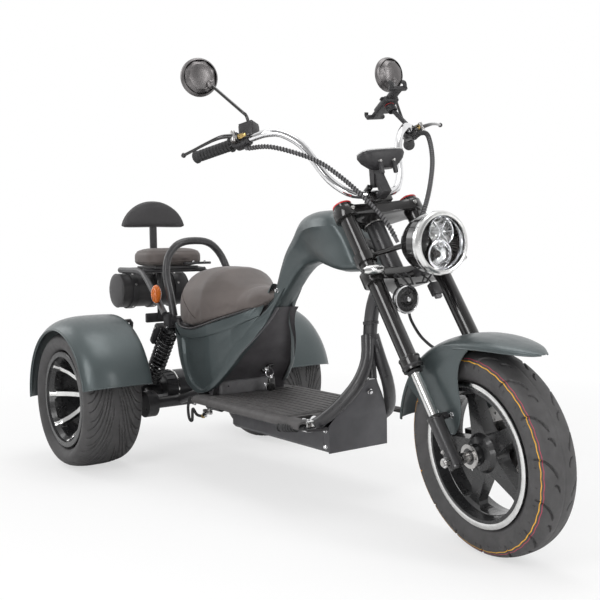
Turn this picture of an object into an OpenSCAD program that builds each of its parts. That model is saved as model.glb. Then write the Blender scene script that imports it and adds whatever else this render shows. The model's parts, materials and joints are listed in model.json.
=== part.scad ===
// Electric three-wheel chopper scooter. Millimetres, +X forward, +Y left, +Z up, ground at z = 0.
// X is measured from the rear axle, and the finished part is moved so that X = 0 is mid-length.

/* [Overall] */
// Rear axle to front axle
wheelbase = 1515; // [1480:5:1550]
// Centre plane to the middle of a rear tyre
half_track = 386; // [380:1:400]
// Steering turned as it stands parked
steer_rest = -9; // [-12:1:0]

/* [Rear wheels] */
// Rear tyre outer radius
rear_r = 238; // [232:1:242]
// Rear tyre width
rear_w = 210; // [200:1:214]
// Rear tyre height from rim lip to tread
rear_section = 72; // [66:1:76]
// Spokes in a rear rim
rear_spokes = 8; // [6:1:10]

/* [Front wheel] */
// Front tyre outer radius
front_r = 254; // [248:1:257]
// Front tyre width
front_w = 112; // [104:1:116]
// Front tyre height from rim lip to tread
front_section = 74; // [70:1:78]
// Spokes in the front rim
front_spokes = 5; // [4:1:6]
// Brake disc radius
disc_r = 105; // [95:1:112]

/* [Fork] */
// Fork angle back from upright
rake = 33.5; // [32.5:0.5:34.5]
// Centre plane to a fork leg
leg_y = 108; // [105:1:112]
// Fork legs ahead of the steering axis
leg_ahead = 44; // [41:1:47]
// Upper fork tube diameter
upper_d = 44; // [40:1:46]
// Chrome slider diameter
slider_d = 26; // [22:1:30]
// Lower fork leg diameter
lower_d = 38; // [34:1:40]

/* [Body] */
// Floorboard half width
floor_half = 197; // [185:1:205]
// Floorboard top height
floor_z = 270; // [268:1:274]
// Battery case half width
case_half = 109; // [100:1:110]
// Battery case underside height
case_z = 173; // [165:1:185]
// Side panel outer face from the centre plane
panel_y = 152; // [150:1:156]
// Side panel thickness
panel_t = 8; // [6:1:9]

/* [Tubes] */
// Main frame tube diameter
frame_d = 36; // [32:1:38]
// Grab arch tube diameter
arch_d = 27; // [24:1:28]
// Rack tube diameter
rack_d = 22; // [18:1:22]
// Handlebar tube diameter
bar_d = 22; // [20:1:24]
// Grip diameter
grip_d = 33; // [30:1:36]

/* [Lamps and controls] */
// Headlight outer diameter
lamp_d = 162; // [150:1:165]
// Mirror head diameter
mirror_d = 104; // [96:1:110]
// Indicator lens diameter
signal_d = 34; // [28:1:38]

/* [Hidden] */
$fn = 64;
fit_gap = 0.3;
run_gap = 0.05;
sheet_t = 3;
rear_lip_r = rear_r - rear_section;
front_lip_r = front_r - front_section;
bag_r = 70;
bag_x = -262;
rear_most = bag_x - bag_r;
front_most = wheelbase + front_r - 1;
mid_x = (front_most + rear_most) / 2;

// Steering axis, from its foot beside the front axle, upward along the rake
axis_foot = [wheelbase - leg_ahead * cos(rake), 0, front_r - leg_ahead * sin(rake)];
head_low = 536;
head_high = 696;
clamp_low = [497, 532];
clamp_high = [700, 730];
stem_d = 34;
head_d = 52;
hub_axle_d = 15;
rear_shaft_d = 30;

function mirror_y(p) = [p[0], -p[1], p[2]];
function reverse(a) = [for (i = [len(a) - 1:-1:0]) a[i]];
function unit(v) = v / norm(v);
function dir_at(p, i) = unit(p[min(i + 1, len(p) - 1)] - p[max(i - 1, 0)]);
function power(v, e) = (v < 0 ? -1 : 1) * pow(abs(v), e);
function sides(a) = concat([for (i = [len(a) - 1:-1:1]) mirror_y(a[i])], a);

// Points of a smooth curve through the corners p, k steps to a corner
function smooth_at(a, b, c, d, t) =
  0.5 * (2 * b + (c - a) * t + (2 * a - 5 * b + 4 * c - d) * t * t + (3 * b - a - 3 * c + d) * t * t * t);
function smooth(p, k) = concat(
  [for (i = [0:len(p) - 2], j = [0:k - 1])
    smooth_at(p[max(i - 1, 0)], p[i], p[i + 1], p[min(i + 2, len(p) - 1)], j / k)],
  [p[len(p) - 1]]);

// Closed skin over rings of equal length
module skin(rings) {
  n = len(rings[0]);
  m = len(rings);
  points = [for (r = rings, p = r) p];
  walls = [for (i = [0:m - 2], k = [0:n - 1])
    [i * n + k, (i + 1) * n + k, (i + 1) * n + (k + 1) % n, i * n + (k + 1) % n]];
  ends = [[for (k = [0:n - 1]) k], [for (k = [n - 1:-1:0]) (m - 1) * n + k]];
  polyhedron(points, concat(walls, ends), convexity = 6);
}

// Cross directions carried along the points p without twist, from u at the start
function carry(p, i, u) = i == len(p) ? [] :
  let (t = dir_at(p, i), w = unit(u - (u * t) * t)) concat([w], carry(p, i + 1, w));

// Round tube along the points p; side is any direction not along the start of the path
module swept(p, d, side = [0, 1, 0], n = 12) {
  u = carry(p, 0, side);
  skin([for (i = [0:len(p) - 1])
    let (v = cross(dir_at(p, i), u[i]))
    [for (k = [0:n - 1]) p[i] + d / 2 * (cos(360 * k / n) * u[i] + sin(360 * k / n) * v)]]);
}

// Straight round bar from p to q
module rod(p, q, d) {
  v = q - p;
  translate(p) rotate([0, acos(v[2] / norm(v)), atan2(v[1], v[0])]) cylinder(h = norm(v), d = d);
}

module both() {
  children();
  mirror([0, 1, 0]) children();
}

// Round bar across the object, from y0 to y1
module across(x, z, y0, y1, d) {
  translate([x, y1, z]) rotate([90, 0, 0]) cylinder(h = y1 - y0, d = d);
}

module placed() {
  translate([-mid_x, 0, 0]) children();
}

module on_axis() {
  placed() translate(axis_foot) rotate([0, -rake, 0]) children();
}

module steered() {
  on_axis() rotate([0, 0, steer_rest]) children();
}

// Turns a piece of the steered group level again
module level() {
  rotate([0, rake, 0]) children();
}

rail_y = 132;
floor_t = 8;
rail_z = floor_z - floor_t - frame_d / 2 - fit_gap;
pivot = [330, 0, 272];
upright_y = 118;
seat_bar = [176, 149, 502];
// Shock absorber line, with a lug across each end
shock_foot = [5, 143, rear_r + 24];
shock_head = [160.5, 138, seat_bar[2] - 20];
shock_lug = 12.3;
shock_dir = unit(shock_head - shock_foot);
shock_low = shock_foot + shock_lug * shock_dir;
shock_len = norm(shock_head - shock_foot) - 2 * shock_lug;
// Tongue that carries the tank on the steering head
tank_rod = [[1122, 0, 748], [1000, 0, 772]];
down_tube = [[1150, 0, 690], [1112, 0, 645], [1084, 0, 592], [1071, 0, 530], [1068, 0, 480]];
side_tube = [[1069, 10, 505], [1083, 24, 440], [1079, 53, 378], [1050, 90, 320], [1010, 120, 276],
  [968, 130, 251], [915, rail_y, rail_z], [700, rail_y, rail_z], [520, rail_y, rail_z],
  [440, rail_y - 4, rail_z], [396, upright_y + 3, rail_z], [346, upright_y, 260], [298, upright_y, 302],
  [250, upright_y, 362], [206, upright_y, 436], [seat_bar[0], upright_y, seat_bar[2]]];
strut = [[1068, 0, 490], [1079, 0, 384]];
strut_d = 24;
side_path = smooth(side_tube, 3);

module frame() {
  color([0.1, 0.1, 0.11]) {
    on_axis() difference() {
      translate([0, 0, head_low]) cylinder(h = head_high - head_low, d = head_d);
      translate([0, 0, head_low - 1]) cylinder(h = head_high - head_low + 2, d = stem_d);
    }
    placed() {
      difference() {
        union() {
          swept(smooth(down_tube, 3), frame_d + 4, n = 14);
          rod(tank_rod[0], tank_rod[1], frame_d);
        }
        translate(axis_foot) rotate([0, -rake, 0])
          translate([0, 0, head_low - 60]) cylinder(h = 280, d = head_d - 6);
      }
      both() swept(side_path, frame_d, side = [0.3, 1, 0.2]);
      rod(strut[0], strut[1], strut_d);
      across(pivot[0], pivot[2], -rail_y, rail_y, 30);
      across(seat_bar[0], seat_bar[2], -seat_bar[1], seat_bar[1], 30);
      across(472, rail_z, -rail_y, rail_y, 24);
      both() across(shock_head[0], shock_head[2], 128, 147, 24);
    }
  }
}

case_front = 1016;
case_rear = 511;
case_h = 52;
case_chamfer = 10;
flange_h = 63;
// Front sheet: half outline as y and z, upright below its bend and leaning forward to the strut above
shield_bend = 252;
shield_lean = 0.47;
shield_top = 384;
shield_half = [[case_half, case_z], [case_half, shield_bend], [94, 276], [77, 306], [54, 336],
  [30, 364], [15, shield_top]];
module battery_case() {
  lean = shield_lean * (shield_top - shield_bend);
  color([0.12, 0.12, 0.13]) placed() {
    translate([case_rear, 0, case_z]) rotate([90, 0, 90]) linear_extrude(case_front - case_rear)
      polygon([[-case_half, case_chamfer], [case_chamfer - case_half, 0], [case_half - case_chamfer, 0],
        [case_half, case_chamfer], [case_half, case_h], [-case_half, case_h]]);
    difference() {
      intersection() {
        translate([case_front - sheet_t, 0, 0]) rotate([90, 0, 90]) linear_extrude(lean + 2 * sheet_t)
          polygon(concat(shield_half, [for (p = reverse(shield_half)) [-p[0], p[1]]]));
        translate([case_front, case_half + 1, 0]) rotate([90, 0, 0]) linear_extrude(2 * case_half + 2)
          polygon([[-sheet_t, case_z], [0, case_z], [0, shield_bend], [lean, shield_top],
            [lean - sheet_t, shield_top], [-sheet_t, shield_bend + 1]]);
      }
      rod(strut[0], strut[1] - 0.02 * (strut[0] - strut[1]), strut_d + 2 * fit_gap);
    }
    both() translate([case_rear, case_half - sheet_t, case_z + case_chamfer])
      cube([case_front - case_rear, sheet_t, flange_h]);
  }
}

floor_front = 988;
floor_rear = 398;
lip_h = 22;
lip_t = 4;
// Half section of the floorboard from the middle out over its rolled edge and back underneath
floor_edge = [[0, 0], [-19, 0], [-9, -1.5], [-3, -6], [0, -13], [0, -lip_h], [-lip_t, -lip_h],
  [-lip_t, -14], [-7, -10], [-13, -floor_t]];
tube_notch = [918, 96, 58];
// Ribbed mat on the board: rear end, front end, half width, height
mat = [472, 906, 172, 3];
module floorboard() {
  half = [for (p = floor_edge) if (p != [0, 0]) [floor_half + p[0], floor_z + p[1]]];
  color([0.14, 0.14, 0.15]) placed() {
    difference() {
      translate([floor_rear, 0, 0]) rotate([90, 0, 90]) linear_extrude(floor_front - floor_rear)
        polygon(concat(half, [for (p = reverse(half)) [-p[0], p[1]]]));
      both() translate([tube_notch[0], tube_notch[1], floor_z - floor_t - 1])
        cube([floor_front - tube_notch[0] + 1, tube_notch[2], floor_t + 2]);
    }
    translate([mat[0], -mat[2], floor_z - 1]) cube([mat[1] - mat[0], 2 * mat[2], mat[3] + 1]);
  }
}

// Rings of the tank from its nose down the neck, the hollow as a share of the half width:
// top x, top z, bottom x, bottom z, half width, hollow under the crease
tank_rings = [[1000, 848, 1092, 714, 52, 0.03], [972, 860, 1085, 692, 78, 0.08],
  [930, 862, 1050, 685, 88, 0.11], [868, 858, 1005, 686, 84, 0.11], [804, 838, 945, 697, 68, 0.1],
  [744, 786, 890, 708, 48, 0.07], [697, 738, 822, 702, 38, 0.03], [670, 686, 770, 675, 36, 0],
  [637, 614, 712, 622, 34, 0], [584, 556, 652, 563, 34, 0]];
// Half section of the tank: share of the way down, share of the half width, share of the hollow
tank_face = [[0, 0, 0], [0.02, 0.5, 0], [0.11, 0.84, 0], [0.27, 1, 0], [0.36, 1, 0.6], [0.55, 0.98, 1],
  [0.8, 0.95, 0.6], [0.94, 0.82, 0], [1, 0.45, 0]];
function tank_side(r, way) = [for (f = tank_face)
  [r[0] + (r[2] - r[0]) * f[0], way * r[4] * (f[1] - r[5] * f[2]), r[1] + (r[3] - r[1]) * f[0]]];
function tank_ring(r) = concat(tank_side(r, 1), [for (p = reverse(tank_side(r, -1))) if (p[1] != 0) p]);
module tank_cover() {
  color([0.16, 0.21, 0.21]) placed() difference() {
    skin([for (r = smooth(tank_rings, 2)) tank_ring(r)]);
    rod(tank_rod[0], tank_rod[1] + 0.08 * (tank_rod[1] - tank_rod[0]), frame_d + 2 * fit_gap);
  }
}

// Side panel stations from rear to front: upper x, upper z, lower x, lower z, outward shift, recess depth
panel_rows = [[204, 497, 206, 478, 0, 0], [240, 486, 240, 385, 0, 0], [270, 483, 264, 334, 0, 0],
  [300, 481, 290, 296, 0, 3], [345, 485, 350, 272, 0, 4], [392, 495, 405, 276, 0, 4],
  [420, 504, 442, 290, -2, 4], [455, 514, 477, 315, -10, 4], [500, 528, 528, 366, -25, 3],
  [535, 540, 560, 411, -45, 2], [565, 552, 592, 455, -68, 0], [590, 565, 622, 508, -98, 0],
  [600, 578, 637, 538, -108, 0]];
// Across the panel, as a fraction from its lower edge: place, outward bulge, share of the recess
panel_face = [[0, 0, 0], [0.1, 1, 0], [0.2, 1, 0], [0.28, 1, 1], [0.66, 1, 1], [0.74, 1, 0],
  [0.88, 1, 0], [1, 0, 0]];
module side_panel() {
  color([0.16, 0.21, 0.21]) skin([for (r = panel_rows) let (y = panel_y + r[4]) concat(
    [for (f = panel_face)
      [r[2] + (r[0] - r[2]) * f[0], y + f[1] - r[5] * f[2], r[3] + (r[1] - r[3]) * f[0]]],
    [[r[0], y - panel_t, r[1]], [r[2], y - panel_t, r[3]]])]);
}

module side_panel_left() {
  placed() side_panel();
}

module side_panel_right() {
  placed() mirror([0, 1, 0]) side_panel();
}

// Apron levels, set back between the panels: height, front x, half width
apron_rows = [[floor_z, 416, 139], [290, 424, 138.5], [315, 440, 137], [366, 497, 123], [411, 533, 107],
  [455, 572, 82], [508, 610, 50], [543, 634, 32]];
apron_t = 7;
apron_n = 8;
apron_bow = 7;
// Raised step at its foot: rear x, depth, half width, height
plinth = [424, 29, 114, 46];
module apron() {
  color([0.1, 0.1, 0.1]) placed() {
    skin([for (r = apron_rows) concat(
      [for (k = [0:apron_n]) let (t = 2 * k / apron_n - 1)
        [r[1] + apron_bow * r[2] / apron_rows[0][2] * (1 - t * t), t * r[2], r[0]]],
      [[r[1] - apron_t, r[2], r[0]], [r[1] - apron_t, -r[2], r[0]]])]);
    translate([plinth[0], 0, floor_z]) linear_extrude(plinth[3]) polygon([for (a = [-90:15:90])
      [plinth[1] * power(cos(a), 0.5), plinth[2] * power(sin(a), 0.8)]]);
  }
}

// Saddle stations: x, half width, edge height, top height
saddle_rows = [[190, 100, 530, 612], [206, 136, 506, 652], [250, 150, 490, 684], [320, 154, 486, 693],
  [392, 153, 499, 691], [420, 150, 508, 687], [455, 142, 518, 679], [500, 127, 532, 663],
  [535, 107, 544, 649], [565, 84, 556, 637], [588, 56, 570, 627], [600, 42, 582, 621],
  [616, 26, 598, 616]];
seat_box_half = panel_y - panel_t - fit_gap;
// Side outline of the box below the saddle's seam, up to where the body narrows
box_step = [392, 12];
box_low = [[252, 480], [262, 420], [332, 300], [box_step[0], floor_z + 4.5], [411, floor_z + 6]];
box_front = [apron_rows[1][1] - apron_t - fit_gap, apron_rows[1][0]];
module seat_box() {
  top = [for (r = reverse(saddle_rows)) if (r[0] >= 250 && r[0] <= box_front[0]) [r[0], r[2] - fit_gap]];
  color([0.08, 0.08, 0.08]) placed() difference() {
    intersection() {
      translate([0, seat_box_half, 0]) rotate([90, 0, 0]) linear_extrude(2 * seat_box_half)
        polygon(concat(box_low, [box_front, [box_front[0], top[0][1]]], top));
      union() {
        translate([0, -seat_box_half, 0]) cube([box_step[0], 2 * seat_box_half, 2 * floor_z]);
        translate([0, box_step[1] - seat_box_half, 0])
          cube([box_front[0], 2 * (seat_box_half - box_step[1]), 2 * floor_z]);
      }
    }
    across(pivot[0], pivot[2], -seat_box_half - 1, seat_box_half + 1, 74);
  }
}

saddle_n = 14;
module saddle() {
  color([0.2, 0.17, 0.16]) placed() skin([for (r = saddle_rows) [for (k = [0:saddle_n])
    let (a = 90 - 180 * k / saddle_n)
    [r[0], r[1] * power(sin(a), 0.75), r[2] + (r[3] - r[2]) * power(cos(a), 0.6)]]]);
}

rack_z = 672;
pad_low = rack_z + 15.2;
// Pillion levels: height above the underside, inset
pad_rows = [[0, 10], [10, 0], [46, 0], [60, 10], [68, 30]];
pad_half = [86, 109];
pad_mid = -108;
module pillion_pad() {
  color([0.2, 0.17, 0.16]) placed() skin([for (r = pad_rows) [for (k = [0:23])
    [pad_mid + (pad_half[0] - r[1]) * power(cos(15 * k), 0.5),
      (pad_half[1] - r[1]) * power(sin(15 * k), 0.5), pad_low + r[0]]]]);
}

back_r = 117;
back_low = 838;
back_top = 936;
back_x = -238;
back_t = 38;
module backrest_pad() {
  color([0.09, 0.09, 0.09]) placed() translate([back_x, 0, 0]) rotate([90, 0, 90]) linear_extrude(back_t)
    difference() {
      translate([0, back_top - back_r]) circle(r = back_r);
      translate([-back_r - 1, back_top - 2 * back_r - 1])
        square([2 * back_r + 2, back_low - back_top + 2 * back_r + 1]);
    }
}

arch_half = [[176, 134, 518.2], [152, 134, 592], [120, 130, 660], [102, 112, 722], [98, 78, 762],
  [100, 40, 778], [101, 0, 781]];
module grab_arch() {
  color([0.07, 0.07, 0.07]) placed() swept(sides(smooth(reverse(arch_half), 3)), arch_d, side = [1, 0, 0]);
}

rack_y = 132;
rack_rear = -248;
rack_tube = [[rack_rear, rack_y, rack_z], [-150, rack_y, rack_z], [-80, rack_y, rack_z - 2],
  [-30, 136, rack_z - 22], [60, 148, 592], [160, 161, 525]];
rack_bars = [rack_rear, -160, -56];
rack_bar_d = 18;
// Lug that joins the rack to the seat bar
rack_lug = [36, 12, 40];
// Plate under the pillion pad
rack_plate = [150, 180, 9];
// Upright strap that carries the backrest, with its foot on the rack
back_strap = [8, 28, 178];
strap_foot = [72, 28, 6];
strap_at = [-226, -back_strap[1] / 2, rack_z - 12];
module rear_rack() {
  color([0.07, 0.07, 0.07]) placed() {
    both() swept(smooth(rack_tube, 3), rack_d, side = [0.1, 1, 0]);
    both() translate([150, seat_bar[1], 486]) cube(rack_lug);
    for (x = rack_bars) across(x, rack_z, -rack_y, rack_y, rack_bar_d);
    translate([-185, -rack_plate[1] / 2, rack_z + 6]) cube(rack_plate);
    translate(strap_at) cube(back_strap);
    translate(strap_at) cube(strap_foot);
  }
}

bag_half = 150;
bag_z = 592.2;
// Hanging loop: length along x, inner y, width, depth into the bag
bag_loop = [24, 66, 30, 8];
module tool_bag() {
  color([0.06, 0.06, 0.06]) placed() {
    across(bag_x, bag_z, -bag_half, bag_half, 2 * bag_r);
    both() translate([rack_rear - bag_loop[0] / 2, bag_loop[1], bag_z + bag_r - bag_loop[3]])
      cube([bag_loop[0], bag_loop[2], rack_z - rack_bar_d / 2 - 0.2 - bag_z - bag_r + bag_loop[3]]);
  }
}

tail_size = [22, 110, 36];
tail_at = [-206, -tail_size[1] / 2, 466];
tail_strap = [5, 20];
module tail_lamp() {
  strap_low = tail_at[2] + 12;
  color([0.5, 0.03, 0.03]) placed() {
    translate([tail_at[0] + tail_size[0], -tail_strap[1] / 2, strap_low])
      cube([tail_strap[0], tail_strap[1], strap_at[2] - strap_low]);
    translate(tail_at) cube(tail_size);
  }
}

signal_at = [92, 172, 594];
module rear_signals() {
  color([0.9, 0.4, 0.05]) placed() both() {
    translate(signal_at + [22, 0, 0]) rotate([0, -90, 0]) signal();
    rod(signal_at + [30, 0, 0], [107.5, 154.5, 576], 10);
  }
}

module along_shock() {
  placed() both() translate(shock_low)
    rotate([0, acos(shock_dir[2]), atan2(shock_dir[1], shock_dir[0])]) children();
}

seat_low = 18;
seat_high = shock_len - 37;
seat_t = 8;
seat_d = 58;
shock_rod_d = 20;
// Damper body: lower end, room left above it, diameter
shock_body = [96, 29, 36];
module dampers() {
  color([0.08, 0.08, 0.08]) along_shock() {
    cylinder(h = shock_len, d = shock_rod_d);
    translate([0, 0, seat_low]) cylinder(h = seat_t, d = seat_d);
    translate([0, 0, shock_body[0]])
      cylinder(h = shock_len - shock_body[0] - shock_body[1], d = shock_body[2]);
    translate([0, 0, seat_high]) cylinder(h = seat_t, d = seat_d);
  }
}

spring_turns = 7;
spring_steps = 14;
spring_wire = 8;
spring_r = 23.5;
module springs() {
  low = seat_low + seat_t + spring_wire / 2 + 0.1;
  rise = (seat_high - spring_wire / 2 - 0.1 - low) / (spring_turns * spring_steps);
  color([0.12, 0.12, 0.12]) along_shock() swept([for (i = [0:spring_turns * spring_steps])
    [spring_r * cos(360 * i / spring_steps), spring_r * sin(360 * i / spring_steps), low + rise * i]],
    spring_wire, side = [0, 0, 1], n = 6);
}

housing_d = 46;
motor_d = 128;
motor_half = 104;
beam = [105, half_track - 201, 205];
beam_d = 40;
// Drum at the beam's end: width, diameter
beam_drum = [38, 92];
// Trailing arm: y of its middle, diameter
arm = [79, 32];
// Pivot eye: width, diameter
pivot_eye = [34, 64];
pivot_d = 30;
shock_pin = [20, 24];
// Inner end of the drive shaft from the wheel middle
shaft_in = -6;
// Inner face of the wheel's tyre
wheel_in = half_track - rear_w / 2;
module rear_axle() {
  color([0.07, 0.07, 0.08]) placed() both() {
    across(0, rear_r, motor_half, wheel_in - 22, housing_d);
    across(0, rear_r, wheel_in - 30, wheel_in - 16, 110);
    across(0, rear_r, wheel_in - 60, half_track + shaft_in, rear_shaft_d);
    across(beam[0], beam[2], -1, beam[1], beam_d);
    across(beam[0], beam[2], beam[1] - 1, beam[1] + beam_drum[0], beam_drum[1]);
    rod([0, beam[1] - 19, rear_r], [beam[0], beam[1] - 19, beam[2]], 34);
    rod([beam[0], arm[0], beam[2]], [pivot[0] - 30, arm[0], pivot[2] - 6], arm[1]);
    difference() {
      across(pivot[0], pivot[2], arm[0] - pivot_eye[0] / 2, arm[0] + pivot_eye[0] / 2, pivot_eye[1]);
      across(pivot[0], pivot[2], arm[0] - pivot_eye[0], arm[0] + pivot_eye[0], pivot_d + 2 * fit_gap);
    }
    across(shock_foot[0], shock_foot[2], shock_foot[1] - shock_pin[0] / 2,
      shock_foot[1] + shock_pin[0] / 2, shock_pin[1]);
  }
}

module drive_motor() {
  color([0.15, 0.15, 0.16]) placed() across(0, rear_r, -motor_half, motor_half, motor_d);
}

// Fender section: distance from the wheel middle toward the outside, radius
fender_out = 118;
fender_in = -116;
fender_r = rear_r + 48;
fender_t = 4;
skirt_r = fender_r - 24;
fender_section = [[fender_in, skirt_r], [fender_in, fender_r - 10], [-96, fender_r], [60, fender_r],
  [96, fender_r - 8], [fender_out - 2, fender_r - 30], [fender_out, rear_r + 6],
  [fender_out - fender_t, rear_r + 6], [fender_out - 6, fender_r - 31], [92, fender_r - 12],
  [58, fender_r - fender_t], [-94, fender_r - fender_t], [fender_in + fender_t, fender_r - 12],
  [fender_in + fender_t, skirt_r]];
// Fender stay: x of its outer end, y of its foot on the axle housing
stay = [60, half_track - 146];
stay_d = 14;
fender_front = 14;
fender_rear = 184;
module rear_fender() {
  color([0.16, 0.21, 0.21]) translate([0, half_track, rear_r]) rotate([90, 0, 0]) rotate(fender_front)
    rotate_extrude(angle = fender_rear - fender_front) polygon([for (p = fender_section) [p[1], -p[0]]]);
  color([0.07, 0.07, 0.08]) {
    rod([stay[0], half_track + fender_in + 2, rear_r + skirt_r],
      [stay[0], stay[1] - 4, rear_r + skirt_r], stay_d);
    rod([stay[0], stay[1], rear_r + skirt_r + 2], [0, stay[1], rear_r + 24], stay_d);
    difference() {
      across(0, rear_r, stay[1] - 10, stay[1] + 10, housing_d + 16);
      across(0, rear_r, stay[1] - 11, stay[1] + 11, housing_d + 2 * fit_gap);
    }
  }
}

module rear_fender_left() {
  placed() rear_fender();
}

module rear_fender_right() {
  placed() mirror([0, 1, 0]) rear_fender();
}

pedal_arm = [1010, -floor_half - 6, 244];
pedal_pad = [70, 36, 8];
pedal_d = 10;
module brake_pedal() {
  color([0.1, 0.1, 0.1]) placed() {
    translate([pedal_arm[0] - 96, pedal_arm[1] - 32, pedal_arm[2] - 4]) cube(pedal_pad);
    rod(pedal_arm + [-40, -12, 0], pedal_arm, pedal_d);
    translate(pedal_arm) sphere(d = pedal_d + 2);
    across(pedal_arm[0], pedal_arm[2], pedal_arm[1], -case_half - fit_gap, pedal_d);
  }
}

cylinder_y = -rail_y - frame_d / 2 - 13;
cylinder_x = [452, 532, 600];
module brake_cylinder() {
  color([0.5, 0.5, 0.5]) placed() {
    rod([cylinder_x[0], cylinder_y, rail_z], [cylinder_x[1], cylinder_y, rail_z], 26);
    rod([cylinder_x[1] - 2, cylinder_y, rail_z], [cylinder_x[2], cylinder_y, rail_z], 10);
  }
}

leg_bottom = -20;
leg_top = 735;
boot = [244, 278];
slider_low = 112;
module at_legs() {
  both() translate([leg_ahead, leg_y, 0]) children();
}

module clamp_plate(h, edge) {
  linear_extrude(h) difference() {
    union() {
      circle(d = head_d + 16);
      both() translate([leg_ahead, leg_y]) circle(r = clamp_eye);
      polygon([[leg_ahead - 28, -leg_y], [leg_ahead + 28, -leg_y], [edge, 0], [leg_ahead + 28, leg_y],
        [leg_ahead - 28, leg_y], [-28, 0]]);
    }
    both() translate([leg_ahead, leg_y]) circle(d = upper_d + 2 * fit_gap);
  }
}

module steering_stem() {
  color([0.06, 0.06, 0.06]) steered() {
    translate([0, 0, clamp_low[0]]) cylinder(h = clamp_high[1] - clamp_low[0] + 8,
      d = stem_d - 2 * run_gap);
    translate([0, 0, clamp_low[0]]) clamp_plate(clamp_low[1] - clamp_low[0], 52);
    translate([0, 0, clamp_high[0]]) clamp_plate(clamp_high[1] - clamp_high[0], 66);
    translate([bar_path[0][0] - 18, -34, clamp_high[1] - 1]) cube([36, 68, 21.7]);
  }
}

module fork_uppers() {
  color([0.03, 0.03, 0.03]) steered() at_legs() {
    translate([0, 0, boot[1]]) cylinder(h = leg_top - boot[1], d = upper_d);
    translate([0, 0, boot[0]]) cylinder(h = boot[1] - boot[0] + 1, d = upper_d + 10);
    translate([0, 0, clamp_high[1] + 1]) cylinder(h = leg_top - clamp_high[1] + 7, d = upper_d + 8);
  }
}

module fork_sliders() {
  color([0.8, 0.8, 0.8]) steered() at_legs()
    translate([0, 0, slider_low]) cylinder(h = boot[0] - slider_low, d = slider_d);
}

module fork_lowers() {
  color([0.04, 0.04, 0.04]) steered() at_legs() difference() {
    translate([0, 0, leg_bottom]) cylinder(h = slider_low - leg_bottom, d = lower_d);
    rotate([90, 0, 0]) cylinder(h = 2 * lower_d, d = hub_axle_d + 2 * fit_gap, center = true);
  }
}

hub_half = 62;
axle_end = leg_y + lower_d / 2 + 16;
module front_axle() {
  half = [[0, axle_end], [hub_axle_d / 2, axle_end], [hub_axle_d / 2, axle_end - 5], [12, axle_end - 5],
    [12, leg_y + lower_d / 2], [hub_axle_d / 2, leg_y + lower_d / 2],
    [hub_axle_d / 2, leg_y - lower_d / 2], [13, leg_y - lower_d / 2], [13, hub_half + 0.5],
    [hub_axle_d / 2, hub_half + 0.5]];
  color([0.6, 0.6, 0.6]) steered() translate([leg_ahead, 0, 0]) rotate([-90, 0, 0])
    rotate_extrude() polygon(concat(half, [for (p = reverse(half)) [p[0], -p[1]]]));
}

disc_y = 60;
disc_t = 4;
caliper = [66, 40, 70];
// Slot for the disc: how deep the caliper reaches over it, width
caliper_slot = [24, 14];
// Arm from the fork leg to the caliper: reach, height
caliper_arm = [82, 30];
module brake_caliper() {
  color([0.35, 0.3, 0.2]) steered() translate([leg_ahead, 0, 0]) {
    level() difference() {
      translate([-disc_r - 7 - caliper_slot[0], disc_y - 22, -44]) cube(caliper);
      translate([-disc_r - 7, disc_y - caliper_slot[1] / 2, -45])
        cube([caliper[0], caliper_slot[1], caliper[2] + 2]);
    }
    translate([-caliper_arm[0], disc_y + 10, 20])
      cube([caliper_arm[0] - lower_d / 2 - fit_gap, leg_y - disc_y - 6, caliper_arm[1]]);
  }
}

lamp_at = [221, 0, 495];
lamp_depth = 118;
module at_lamp() {
  steered() translate(lamp_at) level() rotate([0, 90, 0]) children();
}

// Bucket outline from its rounded back to the rim, as radius and depth fractions
bucket_rows = [[0, 1], [0.3, 1], [0.55, 0.93], [0.75, 0.82], [0.9, 0.64], [0.98, 0.42], [1, 0.22],
  [1, 0.13]];
bucket_r = lamp_d / 2 - 4;
bucket_t = 5;
// Band of the lamp bracket round each fork leg: height on the leg, width
lamp_band = [560, 26];
module headlight_bucket() {
  outer = [for (b = bucket_rows) [b[0] * bucket_r, -b[1] * lamp_depth]];
  inner = [for (b = bucket_rows) [b[0] * (bucket_r - bucket_t), -b[1] * (lamp_depth - bucket_t * b[1])]];
  color([0.05, 0.05, 0.05]) {
    at_lamp() rotate_extrude() polygon(concat(outer, reverse(inner)));
    steered() both() {
      rod(lamp_at + [-70, lamp_d * 0.34, 46], [leg_ahead + 20, leg_y - 18, lamp_band[0] + 13], 14);
      translate([leg_ahead, leg_y, lamp_band[0]]) difference() {
        cylinder(h = lamp_band[1], d = upper_d + 14);
        translate([0, 0, -1]) cylinder(h = lamp_band[1] + 2, d = upper_d + 2 * fit_gap);
      }
    }
  }
}

glass_d = lamp_d - 26;
lamp_r = lamp_d / 2;
module headlight_ring() {
  color([0.8, 0.8, 0.8]) at_lamp() rotate_extrude()
    polygon([[glass_d / 2, -15], [lamp_r - 1, -15], [lamp_r, -12], [lamp_r, -3], [lamp_r - 3, 4],
      [lamp_r - 8, 7], [glass_d / 2 + 1, 6], [glass_d / 2, 3]]);
}

module headlight_lens() {
  color([0.7, 0.75, 0.8]) at_lamp() rotate_extrude() polygon([[0, -15], [glass_d / 2 - fit_gap, -15],
    [glass_d / 2 - fit_gap, 1], [glass_d * 0.35, 4], [glass_d * 0.18, 6], [0, 6.5]]);
}

// Indicator body along its own axis, lens in front
module signal() {
  r = signal_d / 2;
  rotate_extrude() polygon([[0, -24], [5, -23.5], [9, -20], [13, -11], [r - 1, 0], [r, 3], [r, 12],
    [r - 2, 17], [r - 6, 20.5], [0, 22]]);
}

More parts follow.
